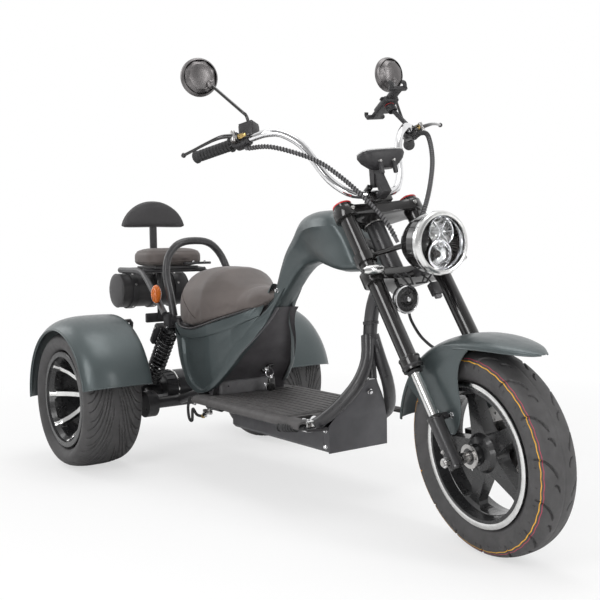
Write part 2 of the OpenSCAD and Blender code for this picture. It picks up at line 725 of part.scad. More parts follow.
// Front indicators: almond pods across the lower clamp, as share of their half length and half height
clamp_eye = upper_d / 2 + 11;
signal_out = 14;
front_signal = [leg_ahead + clamp_eye + signal_out, leg_y + 27, (clamp_low[0] + clamp_low[1]) / 2];
almond = [[1, 0], [0.86, 0.36], [0.6, 0.72], [0.3, 0.94], [0, 1], [-0.3, 0.96], [-0.6, 0.8],
  [-0.86, 0.5], [-1, 0]];
almond_half = [38, 13];
module front_signals() {
  color([0.05, 0.05, 0.05]) steered() both() {
    translate(front_signal) rotate([-90, 0, 0]) rotate_extrude()
      polygon([for (p = almond) [almond_half[1] * p[1], almond_half[0] * p[0]]]);
    translate(front_signal + [0, -25, 0]) rotate([0, -90, 0]) cylinder(h = signal_out - fit_gap, d = 12);
  }
}

horn_at = [26, -38, 452];
// Half outline of the horn from its back to the domed front: radius, depth
horn_face = [[0, -10], [18, -10], [20, -6], [20, 0], [32, 3], [36, 8], [36, 14], [33, 17], [33, 20],
  [30, 22], [14, 24], [12, 30], [0, 32]];
module horn() {
  color([0.05, 0.05, 0.05]) steered() {
    translate(horn_at) level() rotate([0, 90, 0]) rotate_extrude() polygon(horn_face);
    rod(horn_at + [10, 0, 8], [horn_at[0] + 10, horn_at[1], clamp_low[0] - 0.1], 10);
  }
}

// Front fender stations round the wheel: angle, crown radius, half width, edge radius
guard_in = 74;
guard_t = 4;
guard_rows = [[178, 288, guard_in, 262], [160, 290, guard_in, 262], [140, 290, guard_in, 262],
  [120, 290, guard_in, 262], [100, 291, guard_in, 264], [86, 295, 73, 268], [75, 303, 68, 278],
  [65, 315, 57, 294], [58, 327, 42, 311], [53, 336, 22, 327]];
// Crown section, as fractions of the half width and of the crown height
guard_crown = [[1, 0], [0.97, 0.36], [0.8, 0.66], [0.45, 0.9], [0, 1]];
guard_side = [[-118, 78], [-54, 52], [-28, 60], [-6, 112], [-10, 180], [14, 224], [70, 252], [60, 260],
  [-60, 264], [-150, 222], [-222, 150]];
function guard_half(r, t) = [for (c = guard_crown) [c[0] * (r[2] - t), r[3] + c[1] * (r[1] - t - r[3])]];
function guard_ring(r) =
  let (o = guard_half(r, 0), i = guard_half(r, guard_t), m = len(o) - 1)
  let (over = concat(o, [for (k = [m - 1:-1:0]) [-o[k][0], o[k][1]]]))
  let (under = concat([for (p = i) [-p[0], p[1]]], [for (k = [m - 1:-1:0]) i[k]]))
  [for (v = concat(over, under)) [v[1] * cos(r[0]), v[0], v[1] * sin(r[0])]];
module front_fender() {
  color([0.16, 0.21, 0.21]) steered() translate([leg_ahead, 0, 0]) level() {
    skin([for (r = smooth(guard_rows, 2)) guard_ring(r)]);
    both() {
      translate([0, guard_in - 0.5, 0]) rotate([90, 0, 0]) linear_extrude(guard_t - 1) polygon(guard_side);
      across(-62, 94, guard_in - 2, leg_y - lower_d / 2 - fit_gap, 18);
    }
  }
}

// Half of the handlebar from its middle out to the grip end
bar_path = [[62, 0, 762], [61, 40, 763], [57, 80, 778], [52, 116, 826], [54, 138, 886], [62, 164, 944],
  [56, 206, 990], [40, 238, 1006], [24, 254, 1013]];
bar_end = [-140, 374, 1074];
module handlebar() {
  color([0.8, 0.8, 0.8]) steered()
    swept(sides(concat(smooth(bar_path, 3), [bar_end])), bar_d, side = [0, 0, 1]);
}

bar_dir = unit(bar_end - bar_path[len(bar_path) - 1]);
module along_grip(from) {
  steered() both() translate(bar_end - from * bar_dir)
    rotate([0, acos(bar_dir[2]), atan2(bar_dir[1], bar_dir[0])]) children();
}

grip_len = 122;
grip_ribs = 9;
// One rib of the grip: change of radius, share of the rib's length
grip_rib = [[-2, 0.2], [0, 0.35], [0, 0.85], [-2, 1]];
module grips() {
  r = grip_d / 2;
  bore = bar_d / 2 + fit_gap;
  rib = (grip_len - 24) / grip_ribs;
  collar = [[r + 4, 0], [r + 4, 5], [r - 1, 8]];
  ribs = [for (i = [0:grip_ribs - 1], p = grip_rib) [r + p[0], 10 + rib * (i + p[1])]];
  tip = [[r, grip_len - 8], [r + 2, grip_len - 4], [r + 2, grip_len + 2], [r - 2, grip_len + 6],
    [0, grip_len + 6], [0, grip_len + 1], [bore, grip_len + 1], [bore, 0]];
  color([0.04, 0.04, 0.04]) along_grip(grip_len) rotate_extrude() polygon(concat(collar, ribs, tip));
}

control_from = 148;
switch_box = [40, 40, 50];
// Perch that holds the lever, in front of the switch box
perch = [24, 24, 24];
module controls() {
  color([0.05, 0.05, 0.05]) along_grip(control_from) difference() {
    union() {
      translate([-switch_box[0] / 2, -switch_box[1] / 2, -28]) cube(switch_box);
      translate([-perch[0] / 2, -perch[1] - 16, -14]) cube(perch);
    }
    translate([0, 0, -60]) cylinder(h = 120, d = bar_d + 2 * fit_gap);
  }
}

lever_path = [[0, -45.2, -4], [0, -64, 39], [0, -58, 152]];
lever_d = 10;
lever_ball = 15;
module levers() {
  color([0.07, 0.07, 0.07]) along_grip(control_from) {
    rod(lever_path[0], lever_path[1] + [0, 0, 1], lever_d);
    rod(lever_path[1] - [0, 0, 1], lever_path[2], lever_d - 1);
    translate(lever_path[2]) sphere(d = lever_ball);
  }
}

mirror_at = [-24, 335, 1269];
mirror_foot = [-21.5, 287, 1052.5];
mirror_stem = [mirror_foot, [-23, 290, 1095], [-16, 306, 1180], [-12, 326, 1248], mirror_at];
mirror_r = mirror_d / 2;
// Half outline of the mirror from its back to the glass: radius, depth
mirror_face = [[0, -16], [0.4 * mirror_r, -14.5], [0.72 * mirror_r, -10], [0.92 * mirror_r, -3],
  [mirror_r, 6], [mirror_r, 10], [mirror_r - 3, 12], [mirror_r - 5, 10], [0, 10]];
module mirrors() {
  color([0.04, 0.04, 0.04]) steered() both() {
    swept(smooth(mirror_stem, 3), 9, side = [1, 0, 0], n = 8);
    translate(mirror_at) level() rotate([0, -90, -12]) rotate_extrude() polygon(mirror_face);
  }
}

pod_at = [136, 8, 827];
// Instrument pod levels: height, half length, half width
pod_rows = [[-30, 12, 34], [-24, 19, 45], [-8, 28, 62], [6, 32, 69], [13, 31, 68], [16, 28, 65]];
pod_n = 20;
pod_tilt = -16;
pod_post = [20, 36, 58];
pod_foot = [16, 28, 88];
module instrument_pod() {
  color([0.05, 0.05, 0.05]) steered() {
    translate(pod_at) level() {
      rotate([0, pod_tilt, 0]) skin([for (r = pod_rows) [for (k = [0:pod_n - 1]) let (a = 360 * k / pod_n)
        [3 + r[1] * power(cos(a), 0.55), r[2] * power(sin(a), 0.55), r[0]]]]);
      translate([-22, -18 - pod_at[1], -78]) cube(pod_post);
    }
    translate([bar_path[0][0] + 18, -14, clamp_high[1] + 4]) cube([34, 28, 14]);
    translate([98, -14, clamp_high[1] + 4]) cube(pod_foot);
  }
}

phone_at = [2, 236, 1118];
phone_tilt = -37;
phone_tray = [124, 76, 8];
// Jaws at the ends of the tray: reach, width, height, thickness
jaw = [18, 60, 24, 6];
phone_ball = [32, 32, 20.5];
phone_stalk = [[8, 238, 1104], [24, 252, 1026]];
module phone_holder() {
  end = phone_tray[0] / 2 + jaw[0];
  color([0.03, 0.03, 0.03]) steered() {
    translate(phone_at) level() rotate([0, phone_tilt, 0]) {
      translate([-phone_tray[0] / 2, -phone_tray[1] / 2, 0]) cube(phone_tray);
      for (x = [-end, end - jaw[0]]) translate([x, -jaw[1] / 2, 0]) cube([jaw[0], jaw[1], phone_tray[2]]);
      for (x = [-end, end - jaw[3]]) translate([x, -jaw[1] / 2, 7]) cube([jaw[3], jaw[1], jaw[2]]);
      translate([-phone_ball[0] / 2, -phone_ball[1] / 2, -20]) cube(phone_ball);
    }
    rod(phone_stalk[0], phone_stalk[1], 14);
  }
}

cable_left = [[-16, 286, 1001], [36, 276, 982], [100, 236, 920], [120, 190, 820], [118, 130, 720],
  [110, 70, 640], [96, 30, 590]];
cable_right = [[-16, -286, 1001], [40, -240, 958], [80, -160, 880], [92, -110, 810], [100, -66, 720],
  [104, -40, 640], [92, -24, 585]];
module cables() {
  color([0.03, 0.03, 0.03]) steered() {
    swept(smooth(cable_left, 3), 13, side = [0, 0, 1], n = 8);
    swept(smooth(cable_right, 3), 13, side = [0, 0, 1], n = 8);
  }
}

// Wheel pieces are drawn about +Z and laid on their axle
module on_front() {
  steered() translate([leg_ahead, 0, 0]) rotate([-90, 0, 0]) children();
}

module on_rear_left() {
  placed() translate([0, half_track, rear_r]) rotate([-90, 0, 0]) children();
}

module on_rear_right() {
  placed() translate([0, -half_track, rear_r]) rotate([90, 0, 0]) children();
}

// Points of an arc about c
function arc(c, r, from, to, n) =
  [for (i = [0:n]) let (a = from + (to - from) * i / n) c + r * [cos(a), sin(a)]];
// Direction of the common tangent's normal for a circle a at p and a circle b at q
function tangent(p, a, q, b) = let (d = unit(q - p), k = (a - b) / norm(q - p))
  k * d + sqrt(1 - k * k) * [-d[1], d[0]];
// Rounded opening between two spokes: a small arc toward the hub, two corner arcs and one along the rim
module window(p, a, q, b) {
  n = tangent(p, a, q, b);
  side = atan2(n[1], n[0]);
  edge = atan2(q[1], q[0]);
  rim = arc([0, 0], norm(q) + b, edge, 0, 4);
  half = concat(arc(p, a, 180, side, 4), arc(q, b, side, edge, 4), [for (i = [1:4]) rim[i]]);
  polygon(concat(half, [for (i = [len(half) - 2:-1:1]) [half[i][0], -half[i][1]]]));
}

module windows(count, p, a, q, b) {
  for (i = [0:count - 1]) rotate(360 * (i + 0.5) / count) translate([0, 0, -hub_half - 60])
    linear_extrude(2 * hub_half + 120) window(p, a, q, b);
}

hub_r = 27;
front_seat = front_w / 2 - 14;
front_side = [[hub_r, hub_half], [hub_r, 36], [hub_r + 15, 30], [hub_r + 23, 20],
  [front_lip_r - 34, 14], [front_lip_r - 27, 22], [front_lip_r - 22, front_seat + 7],
  [front_lip_r - 2, front_seat + 7], [front_lip_r, front_seat + 5], [front_lip_r, front_seat],
  [front_lip_r - 14, front_seat]];
module front_rim() {
  color([0.05, 0.05, 0.05]) on_front() difference() {
    rotate_extrude() polygon(concat([[hub_axle_d / 2 + run_gap, hub_half]], front_side,
      [for (p = reverse(front_side)) [p[0], -p[1]]], [[hub_axle_d / 2 + run_gap, -hub_half]]));
    windows(front_spokes, front_lip_r * [0.378, 0], front_lip_r * 0.089, front_lip_r * [0.689, 0.278],
      front_lip_r * 0.1);
  }
}

// Tyre outline: fraction of half width, fraction of the height from lip to crown
tyre_rows = [[0.72, 0.0], [0.9, 0.16], [1.0, 0.42], [0.96, 0.68], [0.76, 0.88], [0.4, 0.98]];
module tyre(r, lip, w, seat) {
  h = r - lip;
  rotate_extrude() polygon(concat(
    [[lip - 14 + fit_gap, -seat + fit_gap], [lip - 14 + fit_gap, seat - fit_gap],
    [lip + fit_gap, seat - fit_gap]],
    [for (p = tyre_rows) [lip + fit_gap + (h - fit_gap) * p[1], p[0] * w / 2]],
    [[r, 0]],
    [for (p = reverse(tyre_rows)) [lip + fit_gap + (h - fit_gap) * p[1], -p[0] * w / 2]],
    [[lip + fit_gap, -seat + fit_gap]]));
}

module front_tyre() {
  color([0.03, 0.03, 0.03]) on_front() tyre(front_r, front_lip_r, front_w, front_seat);
}

disc_bore = 62;
disc_holes = 12;
module brake_disc() {
  color([0.6, 0.6, 0.6]) on_front() translate([0, 0, disc_y - disc_t / 2]) difference() {
    cylinder(h = disc_t, r = disc_r);
    translate([0, 0, -1]) cylinder(h = disc_t + 2, r = disc_bore);
    for (i = [0:disc_holes - 1], j = [0:2]) rotate(360 * i / disc_holes + 9 * j)
      translate([disc_bore + 12 + 12 * j, 0, -1]) cylinder(h = disc_t + 2, d = 7, $fn = 16);
  }
  color([0.05, 0.05, 0.05]) on_front() difference() {
    translate([0, 0, 36.2]) cylinder(h = disc_y - disc_t / 2 - 35.2, r = disc_bore + 4);
    translate([0, 0, 20]) cylinder(h = 60, r = hub_r + fit_gap);
  }
}

rear_seat = rear_w / 2 - 20;
rear_hub_r = 43;
// Half outline of the rear rim: cap, bowed face of the spokes, lip, barrel, drive lip, inner face, hub
rear_side = [[0, 16], [16, 16], [24, 12], [28, 4], [rear_hub_r, 2], [0.482 * rear_lip_r, 14],
  [0.675 * rear_lip_r, 36], [0.807 * rear_lip_r, 62], [rear_lip_r - 20, rear_seat],
  [rear_lip_r - 18, rear_seat + 8], [rear_lip_r - 2, rear_seat + 8], [rear_lip_r, rear_seat + 6],
  [rear_lip_r, rear_seat], [rear_lip_r - 14, rear_seat], [rear_lip_r - 14, -rear_seat],
  [rear_lip_r, -rear_seat], [rear_lip_r, -rear_seat - 8], [rear_lip_r - 20, -rear_seat - 8],
  [rear_lip_r - 23, 0], [rear_lip_r - 24, 48], [0.735 * rear_lip_r, 26], [0.59 * rear_lip_r, 6],
  [0.434 * rear_lip_r, -8], [rear_hub_r, -16], [rear_hub_r, -70], [rear_shaft_d / 2 + run_gap, -70],
  [rear_shaft_d / 2 + run_gap, shaft_in + 0.2], [0, shaft_in + 0.2]];
module rear_rim() {
  color([0.05, 0.05, 0.05]) difference() {
    rotate_extrude() polygon(rear_side);
    windows(rear_spokes, rear_lip_r * [0.3735, 0], rear_lip_r * 0.0873, rear_lip_r * [0.7386, 0.1717],
      rear_lip_r * 0.0723);
  }
}

module rear_rim_left() {
  on_rear_left() rear_rim();
}

module rear_rim_right() {
  on_rear_right() rear_rim();
}

module rear_tyre_left() {
  color([0.03, 0.03, 0.03]) on_rear_left() tyre(rear_r, rear_lip_r, rear_w, rear_seat);
}

module rear_tyre_right() {
  color([0.03, 0.03, 0.03]) on_rear_right() tyre(rear_r, rear_lip_r, rear_w, rear_seat);
}

frame();
battery_case();
floorboard();
tank_cover();
side_panel_right();
side_panel_left();
apron();
seat_box();
saddle();
pillion_pad();
backrest_pad();
grab_arch();
rear_rack();
tool_bag();
tail_lamp();
rear_signals();
dampers();
springs();
rear_axle();
drive_motor();
rear_fender_right();
rear_fender_left();
brake_pedal();
brake_cylinder();
steering_stem();
fork_uppers();
fork_sliders();
fork_lowers();
front_axle();
brake_caliper();
headlight_bucket();
headlight_ring();
headlight_lens();
front_signals();
horn();
front_fender();
handlebar();
grips();
controls();
levers();
mirrors();
instrument_pod();
phone_holder();
cables();
front_rim();
front_tyre();
brake_disc();
rear_rim_right();
rear_tyre_right();
rear_rim_left();
rear_tyre_left();
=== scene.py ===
import json
import math

import bmesh
import bpy
import numpy as np
from mathutils import Matrix, Vector
from mathutils.bvhtree import BVHTree


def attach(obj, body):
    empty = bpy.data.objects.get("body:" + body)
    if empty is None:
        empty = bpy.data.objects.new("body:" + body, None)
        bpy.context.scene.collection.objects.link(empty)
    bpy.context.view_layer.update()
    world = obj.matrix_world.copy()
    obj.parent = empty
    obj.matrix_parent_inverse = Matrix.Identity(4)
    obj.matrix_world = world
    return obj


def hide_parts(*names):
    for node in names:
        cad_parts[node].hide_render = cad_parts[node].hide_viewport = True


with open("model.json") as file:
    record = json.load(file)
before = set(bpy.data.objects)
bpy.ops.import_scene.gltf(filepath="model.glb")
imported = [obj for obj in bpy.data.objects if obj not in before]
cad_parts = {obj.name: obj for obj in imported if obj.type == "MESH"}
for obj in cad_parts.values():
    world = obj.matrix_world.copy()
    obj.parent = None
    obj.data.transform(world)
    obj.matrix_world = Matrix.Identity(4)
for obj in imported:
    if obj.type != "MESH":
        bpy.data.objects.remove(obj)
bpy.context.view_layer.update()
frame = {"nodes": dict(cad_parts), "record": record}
NODES = frame["nodes"]

# Sizes and places of the part's source in millimetres, X from the rear axle
MM = Matrix.Scale(0.001, 4)
MIDDLE_X = 718
HALF_TRACK = 386
REAR_RADIUS = 238
FRONT_RADIUS = 254
LEG_X = 44
LEG_Y = 108
STEER_REST = -9
RAKE = 33.5
SIDES = {"left": 1, "right": -1}


def turn(axis, degrees):
    return Matrix.Rotation(math.radians(degrees), 4, axis)


def shift(x, y, z):
    return Matrix.Translation((x, y, z))


def flip(way):
    """The same place on the left for way 1, on the right for -1."""
    return Matrix.Diagonal((1, way, 1, 1))


def lay_along(direction):
    """The turn that lays Z along a unit direction."""
    return (Matrix.Rotation(math.atan2(direction.y, direction.x), 4, "Z")
            @ Matrix.Rotation(math.acos(direction.z), 4, "Y"))


def left_only(way, node):
    """The node that the left one of a pair of pieces stands for."""
    return [node] if way == 1 else ()


# Frames of the chassis, the steered fork, the wheels and the headlight
BODY = shift(-MIDDLE_X / 1000, 0, 0) @ MM
FORK = shift(0.760309, 0, 0.229715) @ turn("Y", -RAKE) @ turn("Z", STEER_REST) @ MM
LEVEL = turn("Y", RAKE)
FRONT = FORK @ shift(LEG_X, 0, 0) @ turn("X", -90)
REAR = {side: BODY @ shift(0, way * HALF_TRACK, REAR_RADIUS) @ turn("X", -90 * way)
        for side, way in SIDES.items()}
LAMP = FORK @ shift(221, 0, 495) @ LEVEL @ turn("Y", 90)


# Camera: place in metres; heading, tilt and roll in degrees; lens and sensor in millimetres
CAMERA_PLACE = (2.3043, -1.6914, 0.7692)
CAMERA_ANGLES = (143.46, 3.59, -0.80)
LENS = 55.09
SENSOR = 36


def place_camera():
    yaw, pitch, roll = np.radians(CAMERA_ANGLES).tolist()
    ahead = Vector((math.cos(yaw) * math.cos(pitch), math.sin(yaw) * math.cos(pitch), -math.sin(pitch)))
    right = Vector((math.sin(yaw), -math.cos(yaw), 0))
    up = right.cross(ahead)
    side = math.cos(roll) * right + math.sin(roll) * up
    top = -math.sin(roll) * right + math.cos(roll) * up
    camera = bpy.data.cameras.new("camera")
    camera.lens = LENS
    camera.sensor_width = SENSOR
    obj = bpy.data.objects.new("camera", camera)
    obj.matrix_world = shift(*CAMERA_PLACE) @ Matrix((side, top, -ahead)).transposed().to_4x4()
    bpy.context.scene.collection.objects.link(obj)
    bpy.context.scene.camera = obj


# Materials
class Nodes:
    """Adds linked nodes to one material or world."""

    def __init__(self, owner):
        owner.use_nodes = True
        self.owner = owner
        self.tree = owner.node_tree
        self.shader = self.tree.nodes.get("Principled BSDF")
        self.spots = self.add("ShaderNodeTexCoord").outputs
        self.place = self.spots["Object"]

    def add(self, kind, inputs=(), **settings):
        node = self.tree.nodes.new(kind)
        for key, value in settings.items():
            setattr(node, key, value)
        for key, value in dict(inputs).items():
            self.put(node.inputs[key], value)
        return node

    def put(self, socket, value):
        if isinstance(value, bpy.types.NodeSocket):
            self.tree.links.new(value, socket)
        else:
            socket.default_value = value

    def noise(self, scale, detail=3, rough=0.55):
        return self.add("ShaderNodeTexNoise", {
            "Vector": self.place, "Scale": scale, "Detail": detail, "Roughness": rough}).outputs["Fac"]

    def cells(self, scale):
        return self.add("ShaderNodeTexVoronoi", {"Vector": self.place, "Scale": scale}).outputs["Distance"]

    def span(self, value, low, high, start=0.3, stop=0.7):
        limits = {"From Min": start, "From Max": stop, "To Min": low, "To Max": high}
        return self.add("ShaderNodeMapRange", {"Value": value, **limits}).outputs["Result"]

    def math(self, kind, a, b=0.0):
        return self.add("ShaderNodeMath", {0: a, 1: b}, operation=kind).outputs[0]

    def blend(self, factor, a, b):
        node = self.add("ShaderNodeMix", data_type="RGBA")
        self.put(node.inputs[0], factor)
        self.put(node.inputs[6], a)
        self.put(node.inputs[7], b)
        return node.outputs[2]

    def bump(self, height, strength, distance):
        inputs = {"Height": height, "Strength": strength, "Distance": distance}
        return self.add("ShaderNodeBump", inputs).outputs["Normal"]

    def set(self, **values):
        for key, value in values.items():
            self.put(self.shader.inputs[key.replace("_", " ")], value)
        return self.owner


def new_material(name):
    return Nodes(bpy.data.materials.new(name))


def tint(color, gain):
    return (color[0] * gain, color[1] * gain, color[2] * gain, 1)


def finish(name, color, rough, metal=0.0, spread=0.18, scale=40, grain=900, depth=0.0002, coat=0.0,
           rough_spread=0.08):
    """Base finish: mottled colour, uneven gloss and a fine moulded or sprayed grain."""
    n = new_material(name)
    cloud = n.noise(scale, 4)
    n.set(Base_Color=n.blend(n.span(cloud, 0, 1), tint(color, 1 - spread), tint(color, 1 + spread)))
    n.set(Roughness=n.span(n.noise(scale * 3, 3), rough - rough_spread, rough + rough_spread))
    n.set(Normal=n.bump(n.noise(grain, 2), 0.35, depth))
    return n.set(Metallic=metal, Coat_Weight=coat, Coat_Roughness=0.08)


def paint_finish():
    n = new_material("paint")
    flake = n.cells(2600)
    cloud = n.noise(9, 3)
    deep = n.blend(n.span(cloud, 0, 1), (0.062, 0.079, 0.082, 1), (0.074, 0.092, 0.095, 1))
    n.set(Base_Color=n.blend(n.span(flake, 0.5, 0, 0.0, 0.6), deep, (0.15, 0.175, 0.178, 1)))
    n.set(Roughness=n.span(n.noise(60, 4), 0.36, 0.46), Normal=n.bump(n.noise(300, 2), 0.06, 0.0002))
    return n.set(Metallic=0.5, Coat_Weight=0.35, Coat_Roughness=0.2)


def leather_finish(name, color):
    n = new_material(name)
    grain = n.cells(420)
    folds = n.noise(34, 5, 0.6)
    wear = n.noise(7, 4)
    worn = n.blend(n.span(wear, 0, 1, 0.35, 0.7), tint(color, 0.82), tint(color, 1.16))
    n.set(Base_Color=n.blend(n.span(grain, 0.35, 0, 0.0, 0.5), worn, tint(color, 0.6)))
    n.set(Roughness=n.span(wear, 0.46, 0.6))
    height = n.math("ADD", n.math("MULTIPLY", grain, 0.6), folds)
    return n.set(Normal=n.bump(height, 0.32, 0.0012), Sheen_Weight=0.12, Specular_IOR_Level=0.45)


def lens_finish(name, color):
    n = new_material(name)
    wave = {"Vector": n.place, "Scale": 60, "Distortion": 0.4}
    ribs = n.add("ShaderNodeTexWave", wave, bands_direction="Y").outputs["Fac"]
    n.set(Base_Color=n.blend(n.span(ribs, 0, 1, 0, 1), tint(color, 0.75), tint(color, 1.15)))
    n.set(Normal=n.bump(ribs, 0.4, 0.001), Roughness=n.span(n.noise(90), 0.08, 0.2))
    return n.set(Transmission_Weight=0.25, Coat_Weight=0.6, Coat_Roughness=0.05)


def metal_finish(name, color, rough, scratch):
    n = new_material(name)
    smear = n.noise(70, 4)
    n.set(Base_Color=n.blend(n.span(smear, 0, 1), tint(color, 0.9), tint(color, 1.05)))
    n.set(Roughness=n.span(n.noise(90, 3), rough, rough + scratch))
    return n.set(Metallic=1.0)


def glass_finish():
    n = new_material("lamp_glass")
    n.set(Roughness=n.span(n.noise(50), 0.0, 0.03))
    n.set(Base_Color=n.blend(n.noise(20), (0.95, 0.97, 1, 1), (1, 1, 1, 1)))
    return n.set(Transmission_Weight=1.0, IOR=1.12)


# Plain finishes: colour, roughness and what differs from the usual grain and gloss
FINISHES = {
    "frame_black": ((0.034, 0.033, 0.035), 0.34, dict(scale=25, grain=1400, coat=0.2)),
    "gloss_black": ((0.012, 0.011, 0.011), 0.17,
                    dict(scale=18, grain=700, depth=0.00005, coat=0.6, rough_spread=0.05)),
    "case_grey": ((0.078, 0.077, 0.083), 0.5, dict(scale=14, grain=1500, coat=0.03)),
    "floor_mat": ((0.084, 0.080, 0.080), 0.6, dict(scale=30, grain=1100, depth=0.0004)),
    "dark_plastic": ((0.028, 0.027, 0.029), 0.44, dict(scale=35, grain=1600, depth=0.0003)),
    "shock_black": ((0.012, 0.012, 0.013), 0.22, dict(scale=50, grain=1200, coat=0.5)),
    "motor_alloy": ((0.05, 0.05, 0.053), 0.36, dict(metal=0.4, scale=30, grain=1200, coat=0.1)),
    "grip_rubber": ((0.024, 0.024, 0.025), 0.6, dict(scale=60, grain=1800, depth=0.0004)),
    "rim_black": ((0.020, 0.020, 0.021), 0.3, dict(scale=22, grain=900, coat=0.35)),
    "tyre": ((0.060, 0.058, 0.059), 0.56, dict(scale=28, grain=1300, depth=0.0004)),
    "stripe_yellow": ((0.80, 0.42, 0.03), 0.55, dict(scale=120)),
    "stripe_red": ((0.40, 0.05, 0.09), 0.55, dict(scale=120)),
    "red_trim": ((0.62, 0.02, 0.02), 0.3, dict(scale=80, coat=0.4)),
    "yellow_trim": ((0.85, 0.55, 0.03), 0.4, dict(scale=80, coat=0.2)),
    "pale_plastic": ((0.6, 0.6, 0.6), 0.4, dict(scale=60)),
    "trim_grey": ((0.130, 0.127, 0.132), 0.4, dict(scale=30, coat=0.12)),
    "apron_grey": ((0.078, 0.074, 0.079), 0.42, dict(scale=16, grain=1500, coat=0.06)),
    "lamp_dark": ((0.05, 0.044, 0.042), 0.2, dict(scale=30, coat=0.4)),
    "thread": ((0.055, 0.045, 0.04), 0.75, dict(scale=500, grain=2500)),
    "screen": ((0.02, 0.024, 0.026), 0.1, dict(scale=40, coat=0.8, rough_spread=0.04)),
}
# Bare metals: colour, roughness and its spread by scratches
METALS = {
    "steel": ((0.52, 0.51, 0.5), 0.24, 0.14),
    "chrome": ((0.82, 0.82, 0.83), 0.05, 0.05),
    "polished": ((0.80, 0.80, 0.79), 0.18, 0.06),
    "brass": ((0.62, 0.45, 0.18), 0.3, 0.12),
    "mirror_back": ((0.20, 0.19, 0.19), 0.36, 0.05),
    "mirror_glass": ((0.7, 0.72, 0.74), 0.02, 0.03),
}
LEATHERS = {"seat_leather": (0.118, 0.099, 0.092), "black_leather": (0.045, 0.043, 0.045)}
LENSES = {"red_lens": (0.45, 0.012, 0.01), "amber_lens": (0.85, 0.2, 0.02)}
LOOK = {
    "paint": paint_finish(),
    "lamp_glass": glass_finish(),
    **{name: finish(name, color, rough, **more) for name, (color, rough, more) in FINISHES.items()},
    **{name: metal_finish(name, *values) for name, values in METALS.items()},
    **{name: leather_finish(name, color) for name, color in LEATHERS.items()},
    **{name: lens_finish(name, color) for name, color in LENSES.items()},
}
SLOT = {s["node"]: s["material_slot"] for s in frame["record"]["subparts"]}


def dress_cad():
    for name, obj in NODES.items():
        obj.data.materials.clear()
        obj.data.materials.append(LOOK[SLOT[name]])
    NODES["headlight_ring"].data.materials[0] = LOOK["polished"]


# Mesh forms
def grid_faces(rows, columns, around=True, looped=False, caps=False):
    """Quads of a grid of points: `around` closes each row, `looped` joins the last row to the first."""
    faces = []
    for i in range(rows if looped else rows - 1):
        here, there = i * columns, (i + 1) % rows * columns
        for k in range(columns if around else columns - 1):
            after = (k + 1) % columns
            faces.append((here + k, here + after, there + after, there + k))
    if caps:
        faces += [tuple(range(columns))[::-1], tuple((rows - 1) * columns + k for k in range(columns))]
    return faces


